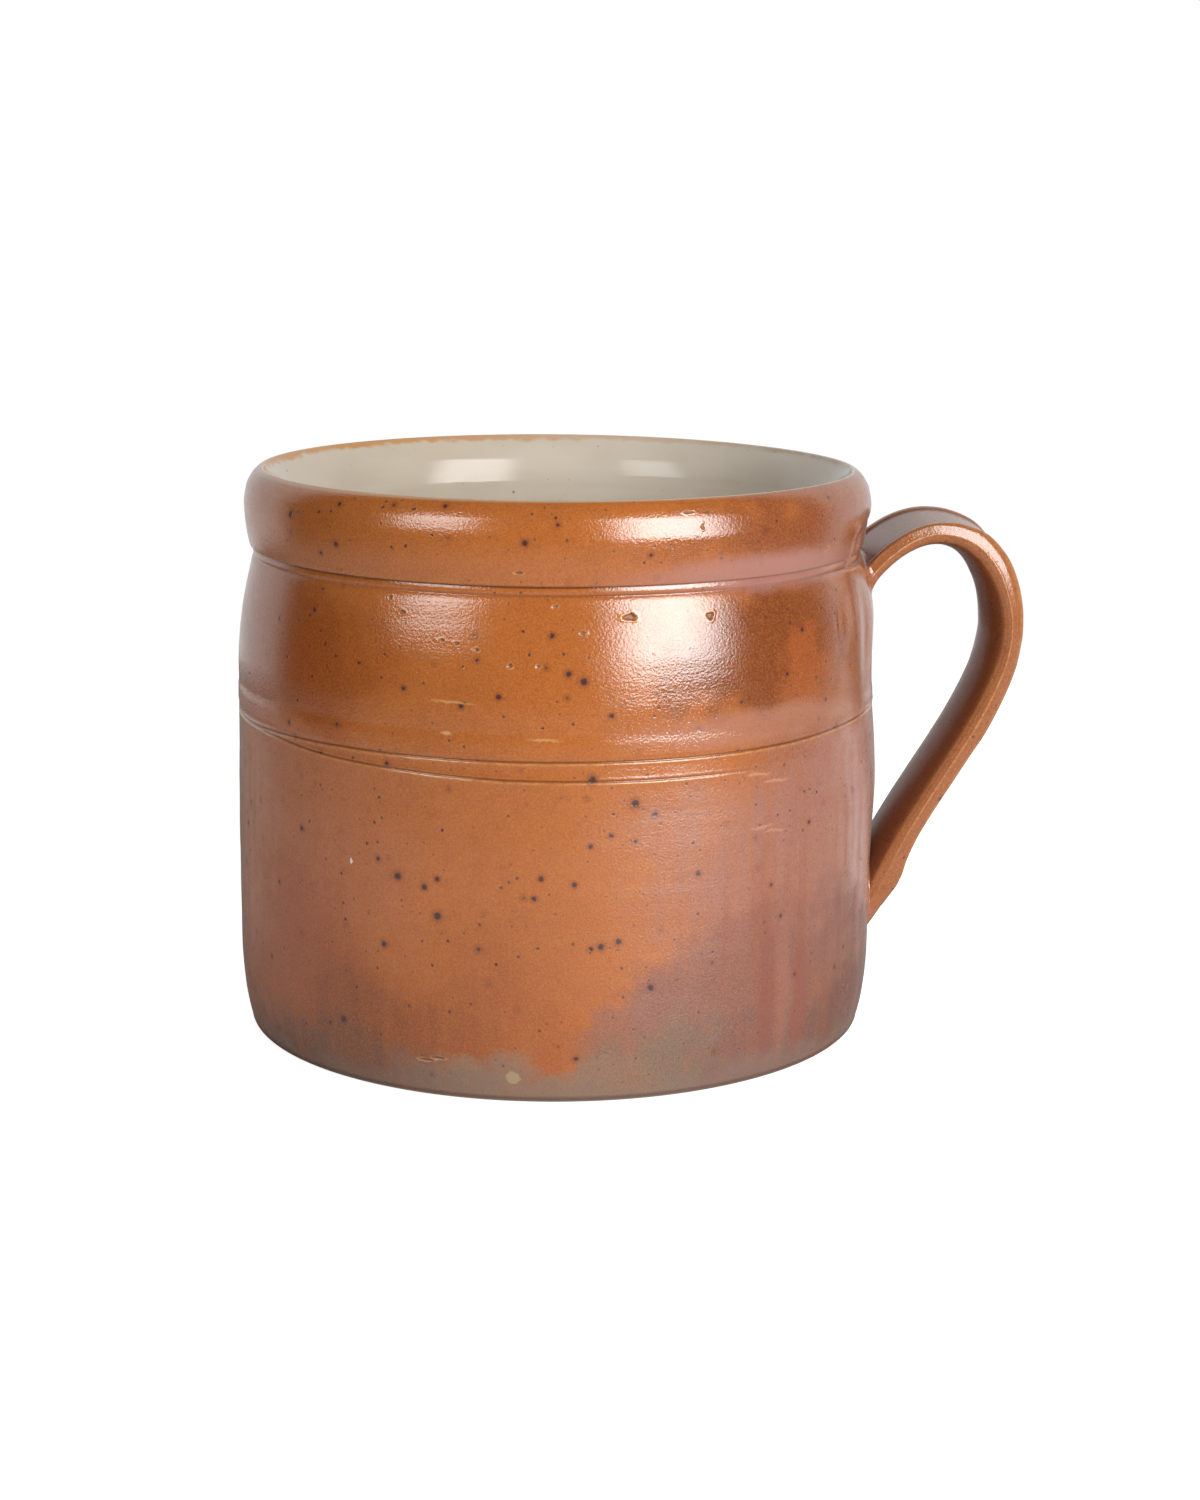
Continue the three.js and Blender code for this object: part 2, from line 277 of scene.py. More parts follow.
def pull_section(name: str, rings: Sequence[np.ndarray]) -> bpy.types.Object:
    """Extrudes a filled section ring by ring along a path.

    Args:
        name: name of the new piece.
        rings: the section's points in millimetres at each station, the same number at each.

    Returns:
        The closed piece, with a vertex order that follows the rings.
    """
    clear_selection()
    count = len(rings[0])
    bpy.ops.mesh.primitive_circle_add(vertices=count, radius=MM, fill_type="NGON")
    piece = new_piece(name)
    bpy.ops.object.mode_set(mode="EDIT")
    mesh = bmesh.from_edit_mesh(piece.data)
    mesh.verts.ensure_lookup_table()
    for vertex, place in zip(mesh.verts, rings[0]):
        vertex.co = Vector(place) * MM
    bmesh.update_edit_mesh(piece.data)
    bpy.ops.mesh.select_all(action="SELECT")
    for ring in rings[1:]:
        bpy.ops.mesh.extrude_region_move()
        mesh = bmesh.from_edit_mesh(piece.data)
        moved = [vertex for vertex in mesh.verts if vertex.select]
        moved.sort(key=lambda vertex: vertex.index)
        for vertex, place in zip(moved, ring):
            vertex.co = Vector(place) * MM
        bmesh.update_edit_mesh(piece.data)
    # extruding leaves the faces in an order that changes from run to run
    mesh.verts.index_update()
    mesh.faces.sort(key=partial(place_in_rings, total=len(mesh.verts)))
    bmesh.update_edit_mesh(piece.data)
    bpy.ops.object.mode_set(mode="OBJECT")
    return piece


def wrap_torus(name: str, sections: np.ndarray) -> bpy.types.Object:
    """Adds a torus and moves its vertices on to closed sections that follow each other in a ring.

    Args:
        name: name of the new piece.
        sections: millimetre points, indexed by place along the ring and place in the section.

    Returns:
        The closed piece.
    """
    clear_selection()
    along, around, _ = sections.shape
    bpy.ops.mesh.primitive_torus_add(major_segments=along, minor_segments=around,
                                     major_radius=MM * 4, minor_radius=MM)
    piece = new_piece(name)
    write_points(piece, sections.reshape(-1, 3))
    return piece


# Colour and node helpers


def linear(hex_colour: str) -> tuple[float, float, float, float]:
    """Turns an sRGB hex colour into the linear colour that a node takes.

    Args:
        hex_colour: six hex digits.

    Returns:
        Red, green, blue and an alpha of 1.
    """
    parts = []
    for start in (0, 2, 4):
        share = int(hex_colour[start:start + 2], 16) / 255.0
        parts.append(share / 12.92 if share <= 0.04045 else ((share + 0.055) / 1.055) ** 2.4)
    return (parts[0], parts[1], parts[2], 1.0)


def add_node(tree: bpy.types.NodeTree, kind: str, inputs: dict[int | str, object] | None = None,
             output: int | str = 0, **settings: str | bool) -> Socket | None:
    """Adds one node with its settings, values and links.

    Args:
        tree: where it goes.
        kind: Blender's name for the node, without ShaderNode before it.
        inputs: by socket name or number, a value, a hex colour, or the socket that it is linked from.
        output: name or number of the output that is wanted.
        settings: properties of the node itself.

    Returns:
        That output, or None for a node that has no outputs.
    """
    node = tree.nodes.new("ShaderNode" + kind)
    for name, value in settings.items():
        setattr(node, name, value)
    for key, value in (inputs or {}).items():
        if isinstance(value, Socket):
            tree.links.new(value, node.inputs[key])
        else:
            node.inputs[key].default_value = linear(value) if isinstance(value, str) else value
    return node.outputs[output] if node.outputs else None


class Palette:
    """One material's nodes and the patterns that the jar's finishes share, on Object coordinates."""

    def __init__(self, name: str) -> None:
        """Makes an empty material.

        Args:
            name: name of the material.
        """
        self.material = bpy.data.materials.new(name)
        self.material.use_nodes = True
        self.material.node_tree.nodes.clear()
        self.node = partial(add_node, self.material.node_tree)
        self.place = self.node("TexCoord", output="Object")

    def grained(self, grain: Sequence[float]) -> Socket:
        """Object coordinates in units of a grain, whose size along X, Y and Z is in millimetres."""
        scale = tuple(1.0 / (size * MM) for size in grain)
        return self.node("Mapping", {"Vector": self.place, "Scale": scale})

    def mottling(self, grain: Sequence[float], detail: float = 3.0, shift: float = 0.0) -> Socket:
        """Soft mottling with a grain of a real size.

        Args:
            grain: size in millimetres of one grain along X, Y and Z.
            detail: number of finer layers.
            shift: a fourth coordinate that gives another pattern.

        Returns:
            The socket with a value around 0.5.
        """
        inputs = {"Vector": self.grained(grain), "Scale": 1.0, "Detail": detail, "W": shift}
        return self.node("TexNoise", inputs, noise_dimensions="4D")

    def specks(self, spacing: float, size: float, soft: float, most: float = 1.0) -> Socket:
        """Grains buried at random in the clay, of which the surface cuts those that lie near it.

        Args:
            spacing: millimetres between grains.
            size: radius of a grain in millimetres.
            soft: how far it bleeds out around that, in millimetres.
            most: value on a grain.

        Returns:
            The socket with most on a grain and 0 away from it.
        """
        cells = self.node("TexVoronoi", {"Vector": self.grained((spacing,) * 3), "Scale": 1.0}, "Distance")
        edge = {"From Min": (size + soft) / spacing, "From Max": size / spacing, "To Max": most}
        return self.node("MapRange", {"Value": cells, **edge}, **SMOOTH)

    def spotted(self, pattern: Socket, apart: Socket, reach: float, core: float, most: float = 1.0) -> Socket:
        """Adds one round spot to a pattern.

        Args:
            pattern: the pattern so far.
            apart: distance from the spot's middle, in metres.
            reach: radius in millimetres at which the spot ends.
            core: radius in millimetres within which it is full.
            most: value in its middle.

        Returns:
            The socket with the larger of the two.
        """
        edge = {"From Min": reach * MM, "From Max": core * MM, "To Max": most}
        spot = self.node("MapRange", {"Value": apart, **edge}, **SMOOTH)
        return self.node("Math", {0: pattern, 1: spot}, operation="MAXIMUM")

    def drifted(self, grain: float, reach: float, under: Socket | None = None) -> Socket:
        """Object coordinates pushed about by noise, for edges that wander.

        Args:
            grain: size of the wanderings in millimetres.
            reach: how far they go, in millimetres.
            under: coordinates to push instead of plain Object coordinates.

        Returns:
            The socket with the pushed coordinates.
        """
        wander = self.node("TexNoise", {"Vector": self.grained((grain,) * 3), "Scale": 1.0}, "Color")
        centred = self.node("VectorMath", {0: wander, 1: (0.5, 0.5, 0.5)}, operation="SUBTRACT")
        push = self.node("VectorMath", {0: centred, 1: (4.0 * reach * MM,) * 3}, operation="MULTIPLY")
        return self.node("VectorMath", {0: self.place if under is None else under, 1: push})

    def patch(self, body: JarBody, wall_patch: WallPatch, around: Socket) -> Socket:
        """One patch of the wall, as deep as it is wide.

        Args:
            body: the jar, on whose wall it lies.
            wall_patch: its place, size and strength.
            around: coordinates to use.

        Returns:
            The socket with the patch's share inside it and 0 outside.
        """
        place = body.surface(wall_patch.angle, wall_patch.height)
        size = (1.0 / (wall_patch.width * MM), 1.0 / (wall_patch.width * MM), 1.0 / (wall_patch.tall * MM))
        centre = tuple(-number * MM * scale for number, scale in zip(place, size))
        offset = self.node("Mapping", {"Vector": around, "Location": centre, "Scale": size})
        apart = self.node("VectorMath", {0: offset}, "Value", operation="LENGTH")
        edge = {"From Min": 1.0 + wall_patch.soft, "From Max": 1.0 - wall_patch.soft, "To Max": wall_patch.share}
        return self.node("MapRange", {"Value": apart, **edge}, **SMOOTH)

    def layered(self, colour: Socket | str, coats: Iterable[tuple[Socket, str]]) -> Socket:
        """Lays coats over a colour.

        Args:
            colour: the colour underneath.
            coats: how much of each coat shows, and its colour, from the lowest to the uppermost.

        Returns:
            The socket with the mixed colour.
        """
        for share, coat in coats:
            colour = self.node("Mix", {0: share, 6: colour, 7: coat}, 2, data_type="RGBA")
        return colour

    def broken_over(self, colour: Socket | str, coat: str, pattern: Socket, low: float, high: float,
                    most: float) -> Socket:
        """Lays a coat over a colour where a pattern is strong.

        Args:
            colour: the colour underneath.
            coat: colour of the coat.
            pattern: the pattern that breaks it up.
            low: value of the pattern at which none of the coat shows.
            high: value at which the most of it shows.
            most: how much that is.

        Returns:
            The socket with the mixed colour.
        """
        edge = {"From Min": low, "From Max": high, "To Max": most}
        share = self.node("MapRange", {"Value": pattern, **edge}, **SMOOTH)
        return self.layered(colour, ((share, coat),))

    def relief(self, layers: Iterable[tuple[Socket, float, float]]) -> Socket:
        """Roughens the surface by patterns.

        Args:
            layers: each pattern, the millimetres from its lowest to its highest point, and the share to use.

        Returns:
            The socket with the normal.
        """
        normal = None
        for pattern, depth, strength in layers:
            inputs = {"Height": pattern, "Strength": strength, "Distance": depth * MM}
            if normal is not None:
                inputs["Normal"] = normal
            normal = self.node("Bump", inputs)
        return normal

    def finish(self, colour: Socket, roughness: Socket, normal: Socket, ior: float,
               gleam: Socket | float = FULL_GLEAM) -> bpy.types.Material:
        """Puts the patterns on the surface.

        Args:
            colour: base colour.
            roughness: roughness.
            normal: normal.
            ior: refractive index of the glaze.
            gleam: how much the glaze mirrors.

        Returns:
            The material.
        """
        inputs = {"Base Color": colour, "Roughness": roughness, "Normal": normal, "IOR": ior}
        surface = self.node("BsdfPrincipled", {**inputs, "Specular IOR Level": gleam})
        self.node("OutputMaterial", {"Surface": surface})
        return self.material


# The jar's sizes, from the throwing axis outwards


@dataclass
class JarBody:
    """The thrown jar: foot, wall, scored waist, shoulder, neck, collar and lip."""

    height: float = 183.0
    belly_radius: float = 105.0
    foot_tuck: float = 3.4
    tuck_height: float = 34.0
    foot_round: float = 1.6
    waist_radius: float = 104.2
    waist_start: float = 62.0
    shoulder_start: float = 118.3
    neck_height: float = 155.3
    neck_radius: float = 99.4
    neck_line_depth: float = 0.45
    collar_edge: float = 158.2
    collar_step: float = 1.1
    collar_radius: float = 102.0
    collar_full: float = 172.2
    collar_swell: float = 165.2
    crown_lean: float = 0.7
    crown_turn: float = 2.5
    lip_radius: float = 96.7
    lip_round: float = 0.7
    throat_radius: float = 88.6
    flare_start: float = 160.0
    rim_dip: float = 0.9
    dip_angle: float = 110.0
    dip_spread: float = 50.0
    inner_radius: float = 96.0
    floor_height: float = 10.0
    floor_fillet: float = 18.0
    collar_sway: float = 0.8
    facets: int = 336
    row: float = 1.3
    fine_row: float = 0.21
    scored_band: Point = (99.4, 108.9)
    score_depth: float = 0.38
    score_width: float = 0.32
    burr_rise: float = 0.13
    # the band above the scored lines, which stands out a little: heights of its lower and upper edge
    band_foot: Point = (107.2, 108.2)
    band_top: Point = (112.4, 113.6)
    band_rise: float = 0.24
    ridge_height: float = 177.8
    ridge_rise: float = 0.12
    underside_rings: tuple[float, ...] = (0.0, 30.0, 60.0, 80.0, 92.0, 97.0)
    floor_rings: tuple[float, ...] = (64.0, 48.0, 32.0, 16.0, 0.0)
    # what draws the inside in below the throat: distance out from the throat, and height
    throat_pull: Point = (0.5, 138.0)
    # the line round the neck: height from the neck, and share of the line's depth
    neck_line: tuple[Point, ...] = ((-0.8, 0.0), (-0.5, 0.25), (-0.2, 0.9), (0.1, 1.0), (0.4, 0.4),
                                    (0.8, 0.0), (1.4, -0.1))
    # the undercut below the collar: distance out from the neck, and height from the collar's lower edge
    undercut: tuple[Point, ...] = ((-0.05, -0.9), (-0.2, -0.45), (-0.25, -0.2), (0.1, -0.05), (0.65, 0.05),
                                   (0.95, 0.3))
    # where the handle's weight and the thumb pushed the wall out: height, reach, distance and narrowness
    pushes: tuple[tuple[float, float, float, int], ...] = ((84.0, 22.0, 1.7, 5), (138.0, 11.0, 1.2, 6))
    # angle and height along the upper scored line, which runs right round
    upper_line: tuple[Point, ...] = ((-180, 105.6), (-120, 105.1), (-78, 104.9), (-68, 105.2), (-54, 106.2),
                                     (-43, 106.6), (20, 106.4), (41, 106.8), (58, 107.5), (90, 107.4),
                                     (140, 106.5), (180, 105.6))
    # the lower one starts faintly at the right front and climbs into the upper one on the left
    lower_line: tuple[Point, ...] = ((-180, 104.9), (-80, 104.9), (-68, 104.7), (-60, 104.3), (-46, 102.9),
                                     (-34, 102.2), (-26, 101.6), (-13, 100.9), (9, 100.5), (180, 100.4))
    # finger marks beside the handle: angle, height, half width, half length, depth
    finger_marks: tuple[tuple[float, float, float, float, float], ...] = (
        (54.5, 140.0, 2.2, 7.0, 0.55), (60.0, 143.0, 3.6, 9.0, -0.3), (67.0, 132.0, 4.0, 14.0, 0.6),
        (73.0, 128.0, 3.0, 16.0, -0.45), (108.0, 130.0, 4.2, 15.0, 0.6), (114.0, 138.0, 3.0, 9.0, -0.35),
        (120.0, 141.0, 3.0, 8.0, 0.5), (58.0, 88.0, 5.0, 9.0, 0.25),
    )
    # burst bubbles and chips: angle, height, half width, half height, depth
    chips: tuple[tuple[float, float, float, float, float], ...] = (
        (7.2, 149.2, 2.2, 1.1, 0.8), (21.6, 148.2, 1.3, 1.2, 0.7), (-12.6, 135.2, 0.8, 0.8, 0.5),
        (-8.0, 135.1, 0.8, 0.6, 0.5), (-24.4, 141.8, 1.0, 0.5, 0.4), (-21.8, 141.0, 1.0, 0.5, 0.45),
        (-18.3, 139.5, 0.8, 0.6, 0.5), (-32.2, 149.1, 1.1, 0.6, 0.45), (-34.9, 153.0, 0.7, 0.7, 0.5),
        (-5.4, 152.4, 1.0, 0.6, 0.4), (-0.9, 144.9, 1.1, 0.5, 0.4), (19.7, 175.0, 0.5, 1.0, 0.4),
        (49.5, 163.6, 1.0, 0.6, 0.4), (17.3, 179.4, 1.8, 0.5, 0.3), (-11.5, 162.5, 1.4, 0.5, 0.35),
        (-27.4, 11.8, 2.6, 0.5, 0.35), (-25.0, 13.0, 2.2, 0.5, 0.3), (150.0, 120.0, 1.4, 0.8, 0.5),
        (-140.0, 64.0, 1.2, 0.9, 0.5), (172.0, 44.0, 1.0, 0.7, 0.45), (-118.0, 150.0, 1.0, 0.7, 0.4),
    )

    def wall_radius(self, height: np.ndarray) -> np.ndarray:
        """Radius of the round wall below the neck.

        Args:
            height: heights above the table.

        Returns:
            The radius at each height.
        """
        height = np.asarray(height, float)
        tuck = self.foot_tuck * np.clip(1.0 - height / self.tuck_height, 0.0, 1.0) ** 3
        waist = self.belly_radius - self.waist_radius
        waist = waist * ease(self.waist_start, self.shoulder_start, height)
        rise = np.clip((height - self.shoulder_start) / (self.neck_height - self.shoulder_start), 0.0, 1.0)
        return self.belly_radius - tuck - waist - (self.waist_radius - self.neck_radius) * rise ** 2

    def wall_heights(self) -> list[float]:
        """Heights of the rows of the wall, close together where the lines are scored.

        Returns:
            Heights above the table, from the foot's rounding to just below the neck.
        """
        low, high = self.scored_band
        below = np.linspace(self.foot_round, low, int((low - self.foot_round) / self.row))
        scored = np.linspace(low, high, int((high - low) / self.fine_row))
        above = np.linspace(high, self.neck_height - 1.2, int((self.neck_height - high) / self.row))
        return [*below, *scored[1:], *above[1:]]

    def outer_profile(self) -> list[Point]:
        """Section of the outside, from the foot's edge up to the crest of the lip.

        Returns:
            Radius and height of each point.
        """
        foot = float(self.wall_radius(self.foot_round))
        corner = (foot, 0.0)
        points = [(foot - self.foot_round, 0.0)]
        points += bend(points[0], corner, (foot, self.foot_round), 5)[:-1]
        points += [(float(self.wall_radius(z)), float(z)) for z in self.wall_heights()]
        neck = self.neck_radius
        edge = self.collar_edge
        depth = self.neck_line_depth
        points += [(neck - dip * depth, self.neck_height + lift) for lift, dip in self.neck_line]
        points += [(neck + out, edge + lift) for out, lift in self.undercut]
        collar_foot = (neck + self.collar_step, edge + 0.7)
        fullest = (self.collar_radius, self.collar_full)
        turn = (self.collar_radius - self.crown_lean, self.height - self.crown_turn)
        points.append(collar_foot)
        points += bend(collar_foot, (self.collar_radius, self.collar_swell), fullest, 14)
        points += bend(fullest, turn, (self.lip_radius, self.height), 16)
        return points

    def inner_profile(self, inset: float = 0.0) -> list[Point]:
        """Section of the inside, from the lip's rounding down to the axis.

        Args:
            inset: how far inside the clay it runs.

        Returns:
            Radius and height of each point.
        """
        mouth = self.lip_radius - self.lip_round - inset
        rim = self.height - self.lip_round
        wall = self.inner_radius - inset
        floor = self.floor_height + inset
        throat = self.throat_radius - inset
        sweep_top = floor + self.floor_fillet
        points = [(mouth, rim)]
        for height in np.linspace(rim, self.flare_start, 18)[1:]:
            share = (height - self.flare_start) / (rim - self.flare_start)
            points.append((throat + (mouth - throat) * share ** 3, float(height)))
        pull = (throat + self.throat_pull[0], self.throat_pull[1])
        points += bend(points[-1], pull, (wall, self.shoulder_start), 10)
        points += [(wall, z) for z in np.linspace(self.shoulder_start, sweep_top, 12)[1:]]
        points += bend(points[-1], (wall, floor), (wall - self.floor_fillet, floor), 10)
        points += [(r, floor) for r in self.floor_rings]
        return points

    def profile(self) -> list[Point]:
        """Whole section of the clay, from the middle of the underside to the middle of the floor."""
        underside = [(r, 0.0) for r in self.underside_rings]
        return [*underside, *self.outer_profile(), *self.lip_rounding(), *self.inner_profile()[1:]]

    def lip_rounding(self) -> list[Point]:
        """Section from the crest of the lip over into the mouth, without the crest.

        Returns:
            Radius and height of each point.
        """
        lip = (self.lip_radius, self.height)
        mouth = (self.lip_radius - self.lip_round, self.height - self.lip_round)
        return bend(lip, (mouth[0], lip[1]), mouth, 8)

    def sway(self, height: np.ndarray) -> np.ndarray:
        """How far the collar leans over towards the handle at each height."""
        return self.collar_sway * ease(self.shoulder_start, self.collar_edge, height)

    def settled(self, angle: np.ndarray, height: np.ndarray) -> np.ndarray:
        """How far the handle's weight pulled the soft rim down beside it.

        Args:
            angle: degrees round the wall.
            height: heights above the table.

        Returns:
            Millimetres downwards.
        """
        beside = hump(turn_apart(angle, self.dip_angle), self.dip_spread)
        return self.rim_dip * beside * ease(self.neck_height, self.height, height)

    def pushed_out(self, angle: np.ndarray, height: np.ndarray) -> np.ndarray:
        """How far the handle's weight and the thumb that stuck it on moved the soft wall out.

        Args:
            angle: degrees round the wall.
            height: heights above the table.

        Returns:
            Millimetres outwards.
        """
        facing = np.clip(np.cos(np.radians(turn_apart(angle, 90.0))), 0.0, 1.0)
        return sum(distance * hump(np.asarray(height) - middle, reach) * facing ** narrow
                   for middle, reach, distance, narrow in self.pushes)

    def surface(self, angle: np.ndarray, height: np.ndarray) -> np.ndarray:
        """Points on the outside of the wall or the collar.

        Args:
            angle: degrees round the wall.
            height: heights above the table.

        Returns:
            Millimetre points, one row each.
        """
        section = np.array(self.outer_profile())
        angle = np.asarray(angle, float)
        height = np.asarray(height, float)
        radius = np.interp(height, section[:, 1], section[:, 0]) + self.pushed_out(angle, height)
        turn = np.radians(angle)
        across = radius * np.sin(turn) + self.sway(height)
        return np.stack([across, -radius * np.cos(turn), height], axis=-1)

    def inside_clay(self, points: np.ndarray) -> np.ndarray:
        """How deep points lie under the outside of the wall; negative outside it.

        Args:
            points: millimetre points, one row each.

        Returns:
            Depth of each point along the radius.
        """
        angle = angle_from_front(points[..., 0] - self.sway(points[..., 2]), points[..., 1])
        skin = self.surface(angle, points[..., 2])
        return np.hypot(skin[..., 0], skin[..., 1]) - np.hypot(points[..., 0], points[..., 1])

    def build(self) -> bpy.types.Object:
        """Throws the jar, then works its soft clay by hand.

        Returns:
            The finished piece.
        """
        jar = throw_profile("stoneware_jar", self.profile(), self.facets)
        self.work_clay(jar)
        self.burst_bubbles(jar)
        return jar

    def work_clay(self, jar: bpy.types.Object) -> None:
        """Moves the wall's points as the wheel, the scoring tool and the fingers did.

        Args:
            jar: the freshly thrown jar.
        """
        points = read_points(jar)
        height = points[:, 2]
        radius = np.hypot(points[:, 0], points[:, 1])
        angle = angle_from_front(points[:, 0], points[:, 1])
        section = np.array(self.outer_profile())
        skin = np.interp(height, section[:, 1], section[:, 0])
        outside = (radius > skin - 1.2) & (height > 0.3)
        moved = self.pushed_out(angle, height) + self.ripple(angle, height)
        pooled_and_shade = np.zeros(len(points))
        broken = np.zeros(len(points))
        self.score_lines(angle, height, moved, pooled_and_shade, broken)
        band = ease(*self.band_foot, height)
        band *= 1.0 - ease(*self.band_top, height + 0.5 * np.sin(np.radians(angle)))
        moved += self.band_rise * band + self.ridge_rise * hump(height - self.ridge_height, 0.9)
        pooled_and_shade += 0.7 * hump(height - self.neck_height, 0.3) * ease(-60.0, 10.0, angle)
        pooled_and_shade += 0.85 * hump(height - self.collar_edge + 0.3, 0.28)
        broken += 0.25 * hump(height - self.collar_edge - 0.5, 0.3)
        # the collar was pressed flat beside the handle, up to a line that climbs towards it
        pressed_top = np.interp(angle, (60.0, 84.0), (164.5, 171.5))
        pressed = ease(60.0, 66.0, angle) * (1.0 - ease(100.0, 118.0, angle)) * ease(150.0, 158.0, height)
        moved -= 0.8 * pressed * (1.0 - ease(-1.0, 1.4, height - pressed_top))
        for mark_angle, mark_height, width, length, depth in self.finger_marks:
            aside = np.radians(turn_apart(angle, mark_angle)) * radius
            moved -= depth * hump(aside, width) * hump(height - mark_height, length)
        radius = radius + np.where(outside, moved, 0.0)
        turn = np.radians(angle)
        points[:, 0] = radius * np.sin(turn) + self.sway(height)
        points[:, 1] = -radius * np.cos(turn)
        points[:, 2] -= self.settled(angle, height)
        write_points(jar, points)
        write_mark(jar, Mark.POOLED, np.where(outside, pooled_and_shade, 0.0))
        write_mark(jar, Mark.BROKEN, np.where(outside, broken, 0.0))
        write_mark(jar, Mark.BARE, np.zeros(len(points)))

    @staticmethod
    def ripple(angle: np.ndarray, height: np.ndarray) -> np.ndarray:
        """Rings that the fingers left in the wall, and the oval that turns as it climbs.

        Args:
            angle: degrees round the wall.
            height: heights above the table.

        Returns:
            Millimetres outwards.
        """
        ripple = 0.03 * np.sin(math.tau * height / 19.0 + 0.7 * np.sin(np.radians(angle)))
        ripple += 0.012 * np.sin(math.tau * height / 7.1 + np.radians(angle))
        ripple += 0.16 * np.sin(np.radians(2.0 * angle + 0.9 * height))
        return ripple * (ease(1.0, 8.0, height) * (1.0 - 0.6 * ease(150.0, 162.0, height)))

    def score_lines(self, angle: np.ndarray, height: np.ndarray, moved: np.ndarray, pooled_and_shade: np.ndarray,
                    broken: np.ndarray) -> None:
        """Cuts the two waist lines, throws up a burr beside each and lets the glaze pool in them.

        Args:
            angle: degrees round the wall.
            height: heights above the table.
            moved: how far each point has moved out, which changes.
            pooled_and_shade: where the glaze pools, which changes.
            broken: where it breaks, which changes.
        """
        lower_fade = 1.0 - ease(8.0, 38.0, angle)
        lower_fade *= ease(-84.0, -70.0, angle)
        for line, fade in ((self.upper_line, np.ones(len(angle))), (self.lower_line, lower_fade)):
            line_angle, line_height = np.array(line, float).T
            above = height - np.interp(angle, line_angle, line_height)
            waver = 0.8 + 0.2 * np.sin(np.radians(7.0 * angle)) * np.sin(np.radians(3.0 * angle + 40.0))
            moved -= self.score_depth * fade * hump(above, self.score_width)
            moved += self.burr_rise * fade * waver * hump(above + 0.75, 0.42)
            moved += 0.5 * self.burr_rise * fade * hump(above - 0.75, 0.42)
            pooled_and_shade += 0.85 * fade * hump(above, 0.28)
            broken += 0.9 * fade * waver * hump(above + 0.66, 0.32)

    def burst_bubbles(self, jar: bpy.types.Object) -> None:
        """Subdivides the wall about each chip and sinks it, with a slightly raised rim.

        Args:
            jar: the worked jar.
        """
        edit(jar)
        bpy.ops.mesh.select_mode(type="FACE")
        bpy.ops.mesh.select_all(action="DESELECT")
        mesh = bmesh.from_edit_mesh(jar.data)
        places = [self.surface(chip[0], chip[1]) for chip in self.chips]
        centres = np.array([face.calc_center_median() for face in mesh.faces]) / MM
        near = np.zeros(len(centres), bool)
        for place, chip in zip(places, self.chips):
            near |= np.linalg.norm(centres - place, axis=1) < max(chip[2], chip[3]) + 1.8
        for face, chosen in zip(mesh.faces, near):
            face.select_set(bool(chosen))
        bmesh.update_edit_mesh(jar.data)
        bpy.ops.mesh.subdivide(number_cuts=4, smoothness=0.0)
        bpy.ops.object.mode_set(mode="OBJECT")
        points = read_points(jar)
        bare = read_mark(jar, Mark.BARE)
        broken = read_mark(jar, Mark.BROKEN)
        for place, (angle, _, width, tall, depth) in zip(places, self.chips):
            turn = math.radians(angle)
            across = np.array([math.cos(turn), math.sin(turn), 0.0])
            outward = np.array([math.sin(turn), -math.cos(turn), 0.0])
            aside = (points - place) @ across
            lift = points[:, 2] - place[2]
            facing = np.abs((points - place) @ outward) < 4.0
            uneven = 1.0 + 0.18 * np.sin(3.0 * np.arctan2(lift, aside) + angle)
            apart = np.hypot(aside / width, lift / tall) * uneven
            hole = np.where(facing, 1.0 - ease(0.55, 1.05, apart), 0.0)
            rim = np.where(facing, hump(apart - 1.15, 0.2), 0.0)
            points += np.outer(0.16 * rim - depth * hole, outward)
            bare = np.maximum(bare, hole)
            broken = np.maximum(broken, 0.8 * rim)
        write_points(jar, points)
        write_mark(jar, Mark.BARE, bare)
        write_mark(jar, Mark.BROKEN, broken)


@dataclass
class GlazeLining:
    """The pale glaze that was poured into the jar and out again."""

    body: JarBody
    thickness: float = 0.5
    gap: float = 0.12
    # points of the lip's rounding, from its crest down, that the coat stays clear of
    stop: int = 1
    facets: int = 240

    def build(self) -> bpy.types.Object:
        """Spins the thin coat and lets its upper edge run unevenly.

        Returns:
            The finished piece.
        """
        face = self.body.inner_profile(self.gap + self.thickness)
        back = self.body.inner_profile(self.gap)
        over = self.body.lip_rounding()[self.stop:-1]
        thin = np.linspace(0.0, 1.0, len(over))
        rim = [(r - t * self.thickness, z + 0.1 + 0.2 * t) for (r, z), t in zip(over, thin)]
        tucked = [(r + 0.2, z - 0.3) for r, z in over]
        section = [*reversed(face), *reversed(rim), *tucked, *back]
        lining = throw_profile("poured_glaze_lining", section, self.facets)
        points = read_points(lining)
        angle = np.radians(angle_from_front(points[:, 0], points[:, 1]))
        height = points[:, 2]
        upper = ease(self.body.height - 9.0, self.body.height - 2.0, height)
        wave = 0.05 * np.sin(math.tau * height / 9.0 + 2.0 * angle) + 0.04 * np.sin(math.tau * height / 4.3)
        radius = np.hypot(points[:, 0], points[:, 1])
        wall = ease(30.0, 45.0, height) * (1.0 - upper)
        scale = 1.0 + np.where(radius > 1.0, wave * wall / np.maximum(radius, 1.0), 0.0)
        points[:, 0] = points[:, 0] * scale + self.body.sway(height)
        points[:, 1] *= scale
        points[:, 2] -= self.body.settled(np.degrees(angle), height)
        write_points(lining, points)
        return lining


